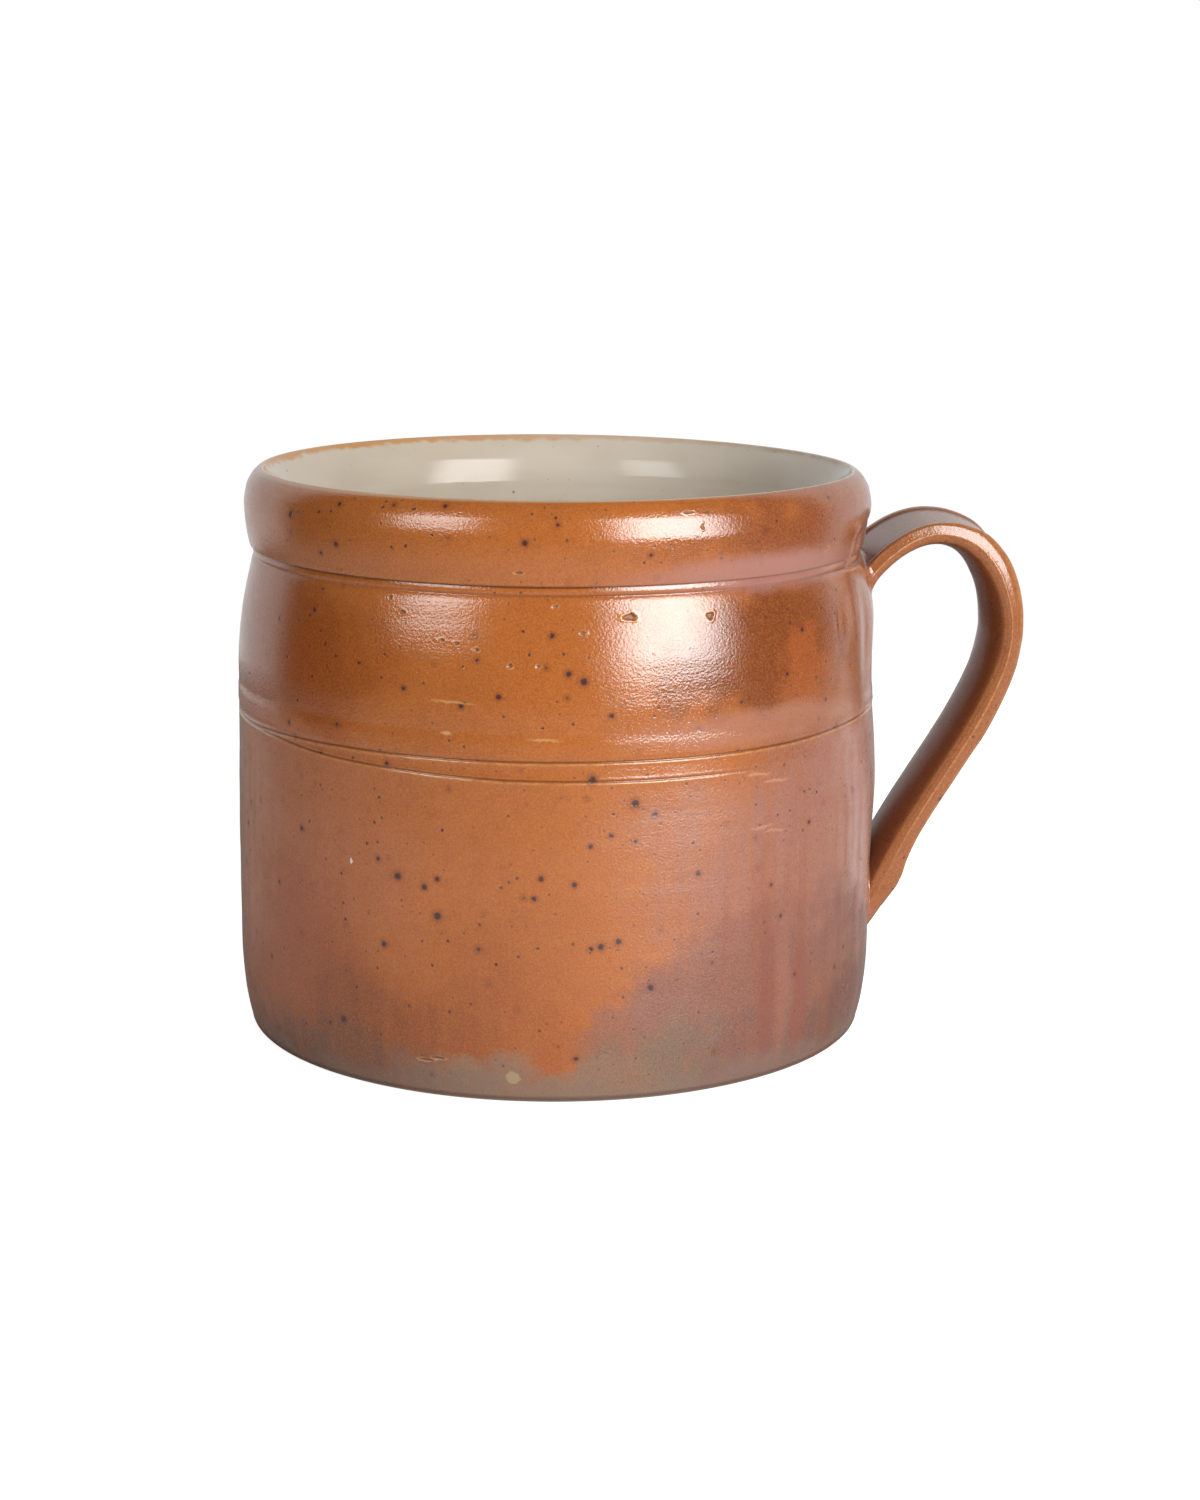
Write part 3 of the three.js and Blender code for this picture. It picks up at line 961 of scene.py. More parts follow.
@dataclass
class HandleStrap:
    """The strap that was drawn through a die, bent over and stuck on at its two ends."""

    root: Point = (94.4, 142.0)
    root_pull: Point = (120.0, 180.5)
    arch_pull: Point = (151.5, 163.2)
    outermost: Point = (151.5, 129.0)
    drop_pull: Point = (151.5, 105.8)
    tail_pull: Point = (117.2, 68.0)
    tail: Point = (99.1, 23.3)
    # sizes at shares of the way from the root to the tail: the width, how far the beads stand out of the
    # spine, how deep the edge reaches below it, how far the belly swells below that, how clear the ribs are,
    # how far in from the edge a bead lies and how far it slopes down to it, and the degrees by which the
    # strap leans over
    width: tuple[Point, ...] = ((0.0, 38.0), (0.06, 36.5), (0.16, 33.5), (0.3, 31.5), (0.5, 31.0),
                                (0.8, 31.5), (0.95, 34.0))
    crest: tuple[Point, ...] = ((0.0, 1.1), (0.2, 1.6), (0.235, 2.2), (0.27, 3.3), (0.32, 3.6),
                                (0.38, 3.25), (0.42, 3.1), (0.455, 3.1), (0.484, 3.7),
                                (0.533, 4.2), (0.581, 4.6), (0.611, 4.65), (0.64, 4.3), (0.698, 4.1),
                                (0.737, 3.9), (0.796, 3.8), (0.825, 4.1), (0.844, 4.5), (0.866, 5.4),
                                (0.888, 5.6), (0.922, 4.3), (0.951, 2.6), (1.0, 0.5))
    rim: tuple[Point, ...] = ((0.0, 3.2), (0.124, 3.9), (0.221, 4.1), (0.319, 3.7), (0.416, 3.0),
                              (0.513, 2.6), (0.611, 2.3), (0.757, 2.6), (0.903, 2.6), (1.0, 2.0))
    swell: tuple[Point, ...] = ((0.0, 2.2), (0.104, 1.8), (0.221, 3.4), (0.319, 4.7), (0.367, 4.9),
                                (0.416, 5.3), (0.465, 5.1), (0.513, 4.3), (0.562, 4.0), (0.659, 3.8),
                                (0.805, 4.2), (1.0, 3.0))
    relief: tuple[Point, ...] = ((0.0, 0.8), (0.124, 1.0), (0.766, 1.0), (0.864, 0.15), (1.0, 0.0))
    bead_inset: tuple[Point, ...] = ((0.18, 1.9), (0.28, 3.0), (0.36, 3.6), (0.5, 3.2))
    bead_drop: tuple[Point, ...] = ((0.18, 0.5), (0.28, 2.0), (0.36, 2.8), (0.5, 2.2))
    lean: tuple[Point, ...] = ((0.28, 3.6), (0.4, 0.0))
    bevel: float = 0.9
    ridge_share: float = 0.55
    channel_depth: float = 0.6
    # the line along each side of the channel: distance in from the edge, half width and depth
    groove_inset: float = 5.0
    groove_width: float = 0.5
    groove_depth: float = 0.25
    edge_trim: float = 0.1
    stations: int = 150
    outer_points: int = 45
    edge_points: int = 17
    belly_points: int = 27

    def spine(self) -> np.ndarray:
        """Evenly spaced points along the middle of the strap, in X and Z.

        Returns:
            Millimetre points, one row for each station.
        """
        share = np.linspace(0.0, 1.0, 400)[:, None]
        runs = []
        for ends in ((self.root, self.root_pull, self.arch_pull, self.outermost),
                     (self.outermost, self.drop_pull, self.tail_pull, self.tail)):
            a, b, c, d = (np.array(place, float) for place in ends)
            back = 1.0 - share
            runs.append(back ** 3 * a + 3 * back ** 2 * share * b
                        + 3 * back * share ** 2 * c + share ** 3 * d)
        path = np.concatenate([runs[0], runs[1][1:]])
        travelled = np.concatenate([[0.0], np.cumsum(np.linalg.norm(np.diff(path, axis=0), axis=1))])
        even = np.linspace(0.0, travelled[-1], self.stations)
        return np.stack([np.interp(even, travelled, path[:, axis]) for axis in (0, 1)], axis=1)

    def section(self, share: float) -> tuple[np.ndarray, np.ndarray, np.ndarray]:
        """The strap's section, from one edge over the outer face and back along the belly.

        Args:
            share: share of the way from the root to the tail.

        Returns:
            The points across and out of the strap, where the glaze breaks, and where it pools, with painted
            shade along the belly.
        """
        sizes = (self.width, self.crest, self.rim, self.swell, self.relief, self.bead_inset, self.bead_drop)
        sizes = [self.size_at(size, share) for size in sizes]
        width, crest, rim, swell, relief, bead_inset, bead_drop = sizes
        half = width / 2.0
        across = np.linspace(-1.0, 1.0, self.outer_points)
        across = np.sign(across) * np.abs(across) ** 0.75 * (half - self.bevel - self.edge_trim)
        inward = half - np.abs(across)
        slope = np.clip((bead_inset - inward) / (bead_inset - self.bevel - self.edge_trim), 0.0, 1.0)
        groove = hump(inward - self.groove_inset, self.groove_width)
        outer = crest - bead_drop * slope ** 1.6 + 0.9 * (1.0 - relief) * (1.0 - (across / half) ** 2)
        outer -= relief * (self.channel_depth * ease(3.6, 5.8, inward) + self.groove_depth * groove)
        outer_break = 0.5 * relief * hump(inward - 2.4, 0.6)
        outer_pool = relief * (0.7 * groove + 0.25 * ease(4.0, 6.0, inward))
        down = np.linspace(0.0, 1.0, self.edge_points + 2)[1:-1]
        ridge = hump(down - self.ridge_share, 0.06)
        facet_out = crest - bead_drop - down * (crest - bead_drop + rim)
        facet_across = half - self.edge_trim - self.bevel * np.clip(1.0 - down / self.ridge_share, 0.0, 1.0)
        facet_across += 0.16 * relief * ridge - 0.3 * ease(self.ridge_share, 1.0, down)
        facet_break = relief * (0.3 * hump(down, 0.07) + 0.85 * ridge)
        facet_pool = 0.6 * relief * hump(down - 1.0, 0.08)
        belly_turn = np.linspace(0.0, math.pi, self.belly_points + 2)[1:-1]
        belly_across = (half - 0.35) * np.cos(belly_turn)
        belly = -rim - swell * np.sin(belly_turn)
        belly_break = 0.35 * hump(half - np.abs(belly_across), 0.6)
        line = np.concatenate([np.stack([across, outer], 1), np.stack([facet_across, facet_out], 1),
                               np.stack([belly_across, belly], 1),
                               np.stack([-facet_across, facet_out], 1)[::-1]])
        broken = np.concatenate([outer_break, facet_break, belly_break, facet_break[::-1]])
        # painted shade: the belly, which faces the wall, gets half a share of the dark colour of pooling
        # glaze, less towards its edges
        pooled_and_shade = np.concatenate([outer_pool, facet_pool, 0.5 * (1.0 - belly_break), facet_pool[::-1]])
        lean = math.radians(self.size_at(self.lean, share))
        line = line @ np.array([[math.cos(lean), math.sin(lean)], [-math.sin(lean), math.cos(lean)]])
        return line, broken, pooled_and_shade

    @staticmethod
    def size_at(sizes: Sequence[Point], share: float) -> float:
        """Reads a size that changes along the strap.

        Args:
            sizes: shares of the way and the size at each.
            share: where to read it.

        Returns:
            The size there.
        """
        shares, values = np.array(sizes, float).T
        return float(np.interp(share, shares, values))

    def rings(self) -> tuple[np.ndarray, np.ndarray, np.ndarray]:
        """The section set up at every station.

        Returns:
            Points by station and place in the section, and the two marks in the same order.
        """
        spine = self.spine()
        tangent = np.gradient(spine, axis=0)
        tangent /= np.linalg.norm(tangent, axis=1)[:, None]
        step = np.linalg.norm(np.diff(spine, axis=0), axis=1).mean()
        rings, broken, pooled_and_shade = [], [], []
        for index, (place, ahead) in enumerate(zip(spine, tangent)):
            travelled = index * step
            line, ring_broken, ring_pooled_and_shade = self.section(index / (self.stations - 1))
            wobble = 0.25 * math.sin(travelled / 21.0 + 0.5)
            out = np.array([-ahead[1], ahead[0]])
            ring = np.empty((len(line), 3))
            ring[:, 0] = place[0] + out[0] * line[:, 1]
            ring[:, 1] = line[:, 0] + wobble
            ring[:, 2] = place[1] + out[1] * line[:, 1]
            rings.append(ring)
            broken.append(ring_broken)
            pooled_and_shade.append(ring_pooled_and_shade)
        return np.array(rings), np.array(broken), np.array(pooled_and_shade)

    def build(self) -> bpy.types.Object:
        """Pulls the section along the spine.

        Returns:
            The finished piece.
        """
        rings, broken, pooled_and_shade = self.rings()
        strap = pull_section("pulled_handle_strap", rings)
        write_mark(strap, Mark.BROKEN, broken.ravel())
        write_mark(strap, Mark.POOLED, pooled_and_shade.ravel())
        write_mark(strap, Mark.BARE, np.zeros(broken.size))
        sheltered = np.zeros(broken.shape)
        first = self.outer_points + self.edge_points
        sheltered[:, first:first + self.belly_points] = 1.0
        write_mark(strap, Mark.SHELTERED, sheltered.ravel())
        recalculate_outside(strap)
        return strap


class StrapEnd(Enum):
    """The two ends at which the strap is stuck on."""

    ROOT = "root"
    TAIL = "tail"


@dataclass
class LutingWad:
    """Soft clay smeared into the corner all round one end of the strap."""

    body: JarBody
    strap: HandleStrap
    end: StrapEnd
    name: str
    steps: int = 9
    # how deep its edges are pressed into the strap and the wall
    sink: float = 0.25
    # how far it follows the strap into the wall
    depth: float = 2.5

    def reach(self, below: np.ndarray) -> tuple[np.ndarray, np.ndarray, np.ndarray]:
        """How far the smear runs out along the strap and along the wall, and how far it is built up.

        Args:
            below: 1 straight below the strap's end, -1 straight above it.

        Returns:
            Reach along the strap, reach along the wall and build-up over the corner, in millimetres.
        """
        if self.end is StrapEnd.ROOT:
            web = ease(-0.1, 0.75, below)
            return 3.0 + 9.0 * web, 2.6 + 10.0 * web, np.zeros(len(below))
        foot = ease(0.0, 0.8, below)
        return 3.0 + 10.0 * foot, 1.4 + 0.8 * foot, 1.6 * foot

    def build(self) -> bpy.types.Object:
        """Finds where the strap meets the wall and lays a fillet round it.

        Returns:
            The finished piece.
        """
        rings, _, _ = self.strap.rings()
        if self.end is StrapEnd.TAIL:
            rings = rings[::-1]
        half = rings[: len(rings) // 2]
        depth = self.body.inside_clay(half)
        along = np.concatenate([[0.0], np.cumsum(np.linalg.norm(np.diff(half.mean(1), axis=0), axis=1))])
        crossing = np.empty(half.shape[1])
        for place, line in enumerate(depth.T):
            first = max(int(np.nonzero(line < 0.0)[0][0]), 1)
            before, after = line[first - 1], line[first]
            share = before / (before - after)
            crossing[place] = along[first - 1] + share * (along[first] - along[first - 1])
        crossing = smooth_ring(crossing, 3)
        corner = self.on_strap(half, along, crossing)
        chart = np.stack([np.radians(angle_from_front(corner[:, 0], corner[:, 1])) * self.body.belly_radius,
                          corner[:, 2]], axis=1)
        heading = chart - chart.mean(0)
        heading /= np.linalg.norm(heading, axis=1)[:, None]
        heading = np.stack([smooth_ring(heading[:, axis], 4) for axis in (0, 1)], axis=1)
        heading /= np.linalg.norm(heading, axis=1)[:, None]
        strap_reach, wall_reach, build_up = (smooth_ring(size, 4) for size in self.reach(-heading[:, 1]))
        upper = self.on_strap(half, along, crossing + strap_reach)
        inward = upper.mean(0) - upper
        inward /= np.linalg.norm(inward, axis=1)[:, None]
        upper += inward * self.sink
        foot = chart + heading * wall_reach[:, None]
        lower = self.body.surface(np.degrees(foot[:, 0] / self.body.belly_radius), foot[:, 1])
        lower *= 1.0 - self.sink / self.body.belly_radius * np.array([1.0, 1.0, 0.0])
        outward = corner * np.array([1.0, 1.0, 0.0])
        outward /= np.linalg.norm(outward, axis=1)[:, None]
        pull = corner + outward * build_up[:, None]
        share = np.linspace(0.0, 1.0, self.steps)[:, None, None]
        fillet = (1.0 - share) ** 2 * upper + 2.0 * share * (1.0 - share) * pull + share ** 2 * lower
        buried = self.on_strap(half, along, np.maximum(crossing - self.depth, 0.0))
        buried = buried + inward * 0.8
        sections = np.concatenate([fillet, buried[None]]).transpose(1, 0, 2)
        wad = wrap_torus(self.name, sections)
        for mark in (Mark.BROKEN, Mark.POOLED, Mark.BARE):
            write_mark(wad, mark, np.zeros(len(wad.data.vertices)))
        recalculate_outside(wad)
        return wad

    @staticmethod
    def on_strap(half: np.ndarray, along: np.ndarray, distance: np.ndarray) -> np.ndarray:
        """Points on the strap's lengthwise lines.

        Args:
            half: the strap's rings from the wall outwards.
            along: path length at each ring.
            distance: path length to read at, for each line.

        Returns:
            Millimetre points, one for each line.
        """
        places = np.empty((half.shape[1], 3))
        for place in range(half.shape[1]):
            for axis in range(3):
                places[place, axis] = np.interp(distance[place], along, half[:, place, axis])
        return places


def smooth_ring(values: np.ndarray, times: int) -> np.ndarray:
    """Evens out values that follow each other in a ring.

    Args:
        values: one value for each place in the ring.
        times: number of passes.

    Returns:
        The smoothed values.
    """
    for _ in range(times):
        values = 0.25 * np.roll(values, 1) + 0.5 * values + 0.25 * np.roll(values, -1)
    return values


# Finishes


@dataclass(frozen=True)
class WallPatch:
    """A patch of the wall that the kiln's flame or ash coloured; a few are painted reflections and painted
    darkening under highlights.

    Attributes:
        angle: its middle, in degrees round the wall.
        height: its middle, above the table.
        width: half its width.
        tall: half its height.
        soft: share of its size over which it fades.
        colour: hex colour.
        share: how much of the colour shows.
    """

    angle: float
    height: float
    width: float
    tall: float
    soft: float
    colour: str
    share: float


@dataclass(frozen=True)
class SaltGlaze:
    """Stoneware fired with salt: a thin glossy orange-brown skin with an orange-peel grain.

    The salt vapour gives the eye a wet gloss over clay that the kiln flashed from orange to brown, grains of
    iron that bleed through as dark specks, pale lines where the skin is thin on an edge, and grey ash near
    the foot. With zones it is the wall's, with its flashing, a few patches of painted reflection and painted
    darkening, and painted shade along the foot's lower edge; with belly it is the strap's, whose underside
    the salt hardly reached and whose belly carries painted shade.
    """

    name: str
    orange: str = "b4652d"
    brown: str = "8a471f"
    iron: str = "3a2a30"
    halo: str = "7a4128"
    thin: str = "d79a5c"
    # dark glaze where it pools; also laid as painted shade on the strap's belly and along the foot's lower
    # edge
    pooled_and_shade: str = "45210f"
    clay: str = "b98a58"
    pit: str = "7a4a26"
    ash: str = "7f6c5e"
    bare: str = "8c7a6c"
    zones: bool = True
    belly: bool = False
    belly_gleam: float = 0.06
    ior: float = 1.85
    gloss: float = 0.12
    # kiln flashing and a few patches of painted reflection and painted darkening, from the largest patches to
    # those that lie over them
    flashes_and_painted_light: tuple[WallPatch, ...] = (
        WallPatch(80.0, 125.0, 84.0, 150.0, 0.3, "925433", 0.95),
        WallPatch(-75.0, 75.0, 78.0, 42.0, 0.45, "b56c4a", 0.8),
        WallPatch(-70.0, 133.0, 62.0, 24.0, 0.3, "984815", 0.85),
        WallPatch(60.0, 70.0, 82.0, 38.0, 0.25, "9c6a5f", 0.85),
        WallPatch(84.0, 66.0, 48.0, 58.0, 0.5, "c5a49f", 0.85),
        # darker glaze right of the key light's highlight, with painted darkening under that highlight so that
        # it reads whiter
        WallPatch(34.0, 138.0, 38.0, 18.0, 0.35, "74371a", 0.9),
        WallPatch(43.5, 131.0, 10.0, 14.0, 0.5, "a4552a", 0.7),
        WallPatch(63.0, 134.0, 14.0, 22.0, 0.4, "9a6a58", 0.6),
        # painted darkening under the key light's highlight on the collar, so that it reads whiter
        WallPatch(44.0, 172.0, 50.0, 10.0, 0.5, "84452a", 0.85),
        WallPatch(-45.0, 20.0, 90.0, 24.0, 0.5, "984c22", 0.75),
        WallPatch(-62.0, 40.0, 40.0, 26.0, 0.4, "a85838", 0.6),
        # painted reflection: the left edge lightened where the glaze mirrors the pale room at a grazing angle
        WallPatch(-84.0, 72.0, 34.0, 44.0, 0.5, "d0987e", 0.7),
        WallPatch(-38.0, 21.0, 36.0, 14.0, 0.5, "7e4226", 0.6),
        WallPatch(45.0, 26.0, 62.0, 30.0, 0.25, "784d46", 0.9),
        WallPatch(24.0, 34.0, 26.0, 22.0, 0.3, "8c5a4e", 0.85),
        WallPatch(12.0, 22.0, 18.0, 14.0, 0.35, "8a5c52", 0.8),
        WallPatch(150.0, 60.0, 70.0, 60.0, 0.5, "a85d36", 0.7),
        WallPatch(-150.0, 120.0, 60.0, 50.0, 0.5, "9e5424", 0.6),
        WallPatch(-8.0, 3.0, 44.0, 11.0, 0.3, "8d7360", 0.9),
        WallPatch(30.0, 5.0, 38.0, 14.0, 0.3, "745350", 0.9),
        WallPatch(-50.0, 3.0, 44.0, 15.0, 0.4, "6c4739", 0.9),
        WallPatch(75.0, 8.0, 60.0, 16.0, 0.4, "5e3933", 0.85),
        WallPatch(180.0, 4.0, 120.0, 14.0, 0.5, "8a5c4a", 0.7),
        WallPatch(14.0, 9.0, 20.0, 12.0, 0.5, "756a58", 0.65),
        WallPatch(2.0, 5.0, 20.0, 9.0, 0.4, "8a6a58", 0.85),
        WallPatch(30.0, 26.0, 20.0, 16.0, 0.5, "784a40", 0.45),
        WallPatch(-62.0, 2.0, 34.0, 6.0, 0.5, "5a3a2c", 0.5),
    )
    # rusty veins low on the right
    rusty: WallPatch = WallPatch(46.0, 40.0, 52.0, 44.0, 0.4, "8e4e38", 1.0)
    # dry ash that dulls the lower wall: its share is added to the roughness
    haze: WallPatch = WallPatch(22.0, 40.0, 78.0, 62.0, 0.25, "7f6c5e", 0.18)
    # narrow runs of ash, scuffs, drips, a bare spot and two bands of painted reflection, whose edges wander
    # less
    runs: tuple[WallPatch, ...] = (
        # painted reflection: pinkish sheen on the collar's lower edge and on the band above the scored lines
        WallPatch(36.0, 159.5, 46.0, 5.5, 0.5, "ac7a70", 0.75),
        WallPatch(32.0, 113.5, 40.0, 5.0, 0.4, "ae7a66", 0.55),
        WallPatch(33.5, 32.0, 3.2, 27.0, 0.5, "844638", 0.5),
        WallPatch(42.0, 24.0, 3.6, 20.0, 0.5, "884a3c", 0.45),
        WallPatch(37.6, 30.0, 3.0, 26.0, 0.5, "a67a6a", 0.2),
        WallPatch(-11.9, 8.7, 2.3, 2.5, 0.12, "a9926f", 0.85),
        WallPatch(-41.4, 71.5, 0.6, 1.0, 0.3, "e8e0d8", 0.9),
        WallPatch(-22.0, 123.5, 6.0, 0.4, 0.5, "d8a870", 0.5),
        WallPatch(-23.1, 113.8, 1.4, 0.45, 0.5, "deb080", 0.6),
        WallPatch(-6.9, 113.4, 4.5, 0.4, 0.5, "d8a870", 0.5),
        WallPatch(31.0, 98.5, 4.0, 0.6, 0.5, "d79c7e", 0.45),
        WallPatch(35.0, 95.5, 5.0, 0.5, 0.5, "d79c7e", 0.4),
        WallPatch(32.0, 82.0, 4.5, 0.5, 0.5, "d79c7e", 0.35),
        WallPatch(34.5, 80.2, 3.5, 0.4, 0.5, "d79c7e", 0.35),
    )
    # small specks of iron: angle and height
    flecks: tuple[Point, ...] = (
        (-50.4, 152.9), (-52.6, 144.4), (-55.5, 142.2), (-47.7, 136.9), (-45.0, 133.9), (-57.8, 130.6),
        (-50.4, 126.5), (-39.8, 132.8), (-34.8, 136.1), (-20.5, 134.3), (-10.7, 145.3), (-9.5, 138.6),
        (-44.3, 113.1), (-54.3, 117.9), (-22.5, 112.3), (-7.1, 117.0), (-50.3, 176.4), (-36.3, 179.8),
        (-30.2, 179.9), (-26.3, 172.7), (-34.0, 168.4), (-31.2, 169.1), (-5.5, 178.7), (-35.5, 92.8),
        (-51.2, 80.9), (-36.4, 84.8), (-23.8, 84.8), (-37.9, 77.8), (-43.5, 66.9), (-42.8, 52.7),
        (-22.9, 50.6), (-36.1, 39.1), (-25.7, 42.5), (-14.7, 44.3), (-22.7, 28.3), (-13.7, 12.1),
        (4.4, 90.7), (18.2, 80.1), (45.6, 89.0), (42.1, 90.2),
    )
    # larger grains of iron: angle, height and radius
    grains: tuple[tuple[float, float, float], ...] = (
        (-31.9, 69.1, 1.1), (-27.0, 66.7, 0.9), (-24.7, 69.6, 0.8), (-24.7, 58.1, 1.2), (-34.7, 47.1, 0.9),
        (-53.4, 78.0, 0.8), (-43.7, 20.2, 1.1), (-7.3, 71.3, 0.8), (-8.4, 65.1, 0.8), (1.0, 101.3, 1.2),
        (8.1, 93.6, 1.2), (11.5, 89.8, 0.8), (4.1, 84.1, 0.7), (0.7, 81.0, 0.7), (-1.9, 69.4, 0.8),
        (19.2, 70.4, 0.8), (2.5, 50.0, 1.0), (5.4, 51.3, 0.9), (10.9, 36.2, 1.0), (-3.0, 133.0, 0.9),
        (-0.5, 130.7, 1.1), (4.1, 120.4, 0.8), (-5.9, 144.1, 0.8), (-58.2, 174.4, 1.0), (-45.9, 167.5, 0.8),
        (-10.5, 171.4, 0.9), (-20.5, 122.8, 0.8), (-14.3, 126.0, 0.8), (-30.8, 126.8, 0.7),
        (-56.8, 110.4, 0.7),
    )

    def dress(self, body: JarBody) -> bpy.types.Material:
        """Makes the material.

        Args:
            body: the jar, on whose wall the kiln's flashing, a few patches of painted light and shade, and
                the larger grains of iron lie.

        Returns:
            The material.
        """
        p = Palette(self.name)
        height = p.node("SeparateXYZ", {0: p.place}, "Z")
        mottle = p.mottling((7.0, 7.0, 5.0), 4.0, 8.0)
        grain = p.mottling((0.55, 0.55, 0.55), 2.0, 1.0)
        broad = p.mottling((60.0, 60.0, 45.0), 2.0, 3.0)
        colour = p.broken_over(self.orange, self.brown, broad, 0.4, 0.75, 0.25)
        if self.zones:
            colour = self.lay_flashes_and_painted_light(p, colour, height, body)
        colour = p.broken_over(colour, self.brown, mottle, 0.45, 0.75, 0.22)
        colour = p.broken_over(colour, self.thin, grain, 0.4, 0.65, 0.16)
        colour = p.broken_over(colour, self.brown, grain, 0.55, 0.3, 0.22)
        colour, dark = self.iron_specks(p, colour, body)
        pooled_and_shade, broken, bare = (p.node("Attribute", output="Fac", attribute_name=mark.value)
                                for mark in (Mark.POOLED, Mark.BROKEN, Mark.BARE))
        # pooling glaze, and painted shade where the mark covers the strap's belly
        deep = p.node("Math", {0: pooled_and_shade, 1: 0.85}, operation="MULTIPLY")
        wear = {"From Min": 0.35, "From Max": 0.6, "To Min": 0.25, "To Max": 0.85}
        wear = p.node("MapRange", {"Value": p.mottling((3.0, 3.0, 1.0)), **wear}, **SMOOTH)
        worn = p.node("Math", {0: broken, 1: wear}, operation="MULTIPLY")
        chipped = p.node("Math", {0: bare, 1: 0.85}, operation="MULTIPLY")
        colour = p.layered(colour, ((deep, self.pooled_and_shade), (worn, self.thin), (chipped, self.pit)))
        gloss = {"From Min": 0.3, "From Max": 0.7, "To Min": self.gloss - 0.03, "To Max": self.gloss + 0.05}
        roughness = p.node("MapRange", {"Value": mottle, **gloss}, **SMOOTH)
        roughness = p.node("Math", {0: bare, 1: 0.4, 2: roughness}, operation="MULTIPLY_ADD")
        if self.zones:
            haze = p.patch(body, self.haze, p.drifted(20.0, 6.0))
            roughness = p.node("Math", {0: roughness, 1: haze})
            colour, roughness = self.foot_and_lip(p, colour, roughness, height, body)
            steady = p.drifted(1.3, 0.3, p.drifted(12.0, 1.0))
            colour = p.layered(colour, ((p.patch(body, run, steady), run.colour) for run in self.runs))
        gleam = FULL_GLEAM
        if self.belly:
            sheltered = p.node("Attribute", output="Fac", attribute_name=Mark.SHELTERED.value)
            roughness = p.node("Math", {0: sheltered, 1: 0.08, 2: roughness}, operation="MULTIPLY_ADD")
            dulled = {"Value": sheltered, "To Min": FULL_GLEAM, "To Max": self.belly_gleam}
            gleam = p.node("MapRange", dulled, **SMOOTH)
        peel = p.mottling((0.8, 0.8, 0.7), 2.0, 5.0)
        lines = p.mottling((40.0, 40.0, 1.1), 3.0, 6.0)
        normal = p.relief(((peel, 0.14, 0.7), (lines, 0.14, 0.2), (dark, -0.1, 0.4)))
        return p.finish(colour, roughness, normal, self.ior, gleam)

    def lay_flashes_and_painted_light(self, p: Palette, colour: Socket, height: Socket, body: JarBody) -> Socket:
        """Lays the kiln's flashing, and a few patches of painted reflection and painted darkening, over the
        plain glaze.

        Args:
            p: the material's palette.
            colour: colour so far.
            height: Z coordinate.
            body: the jar.

        Returns:
            The new colour.
        """
        around = p.drifted(1.8, 1.2, p.drifted(7.0, 4.0, p.drifted(34.0, 10.0)))
        # the ash ran down the lower wall in streaks, and lies evenly above the waist
        streak = {"From Min": 0.3, "From Max": 0.6, "To Min": 0.6}
        streak = p.node("MapRange", {"Value": p.mottling((5.0, 5.0, 60.0), 4.0, 4.0), **streak}, **SMOOTH)
        upper = p.node("MapRange", {"Value": height, "From Min": 85.0 * MM, "From Max": 105.0 * MM}, **SMOOTH)
        streak = p.node("Math", {0: streak, 1: upper}, operation="MAXIMUM")
        for wall_patch in self.flashes_and_painted_light:
            share = p.node("Math", {0: p.patch(body, wall_patch, around), 1: streak}, operation="MULTIPLY")
            colour = p.layered(colour, ((share, wall_patch.colour),))
        rusty = p.patch(body, self.rusty, around)
        veins = {"From Min": 0.5, "From Max": 0.68, "To Max": 0.55}
        veins = p.node("MapRange", {"Value": p.mottling((6.0, 6.0, 130.0), 4.0, 14.0), **veins}, **SMOOTH)
        share = p.node("Math", {0: rusty, 1: veins}, operation="MULTIPLY")
        return p.layered(colour, ((share, self.rusty.colour),))

    def iron_specks(self, p: Palette, colour: Socket, body: JarBody) -> tuple[Socket, Socket]:
        """Scatters iron through the clay: fine specks, and larger grains that bleed.

        Args:
            p: the material's palette.
            colour: colour so far.
            body: the jar.

        Returns:
            The new colour, and a socket that is 1 on the iron.
        """
        fine = p.specks(4.2, 0.22, 0.3, 0.6)
        middling = p.specks(7.0, 0.32, 0.35, 0.75)
        coarse = p.specks(11.0, 0.4, 0.5)
        bleed = p.specks(11.0, 0.6, 1.6, 0.4)
        dark = p.node("Math", {0: fine, 1: middling}, operation="MAXIMUM")
        dark = p.node("Math", {0: dark, 1: coarse}, operation="MAXIMUM")
        if self.zones:
            ragged = p.drifted(0.9, 0.2)
            apart_from = partial(p.node, "VectorMath", output="Value", operation="DISTANCE")
            for angle, height in self.flecks:
                apart = apart_from({0: ragged, 1: tuple(body.surface(angle, height) * MM)})
                dark = p.spotted(dark, apart, 0.7, 0.25)
            for angle, height, size in self.grains:
                apart = apart_from({0: ragged, 1: tuple(body.surface(angle, height) * MM)})
                dark = p.spotted(dark, apart, 1.3 * size, 0.55 * size)
                bleed = p.spotted(bleed, apart, 2.6 * size, size, 0.45)
        iron = p.node("Math", {0: dark, 1: 0.88}, operation="MULTIPLY")
        return p.layered(colour, ((bleed, self.halo), (iron, self.iron))), dark

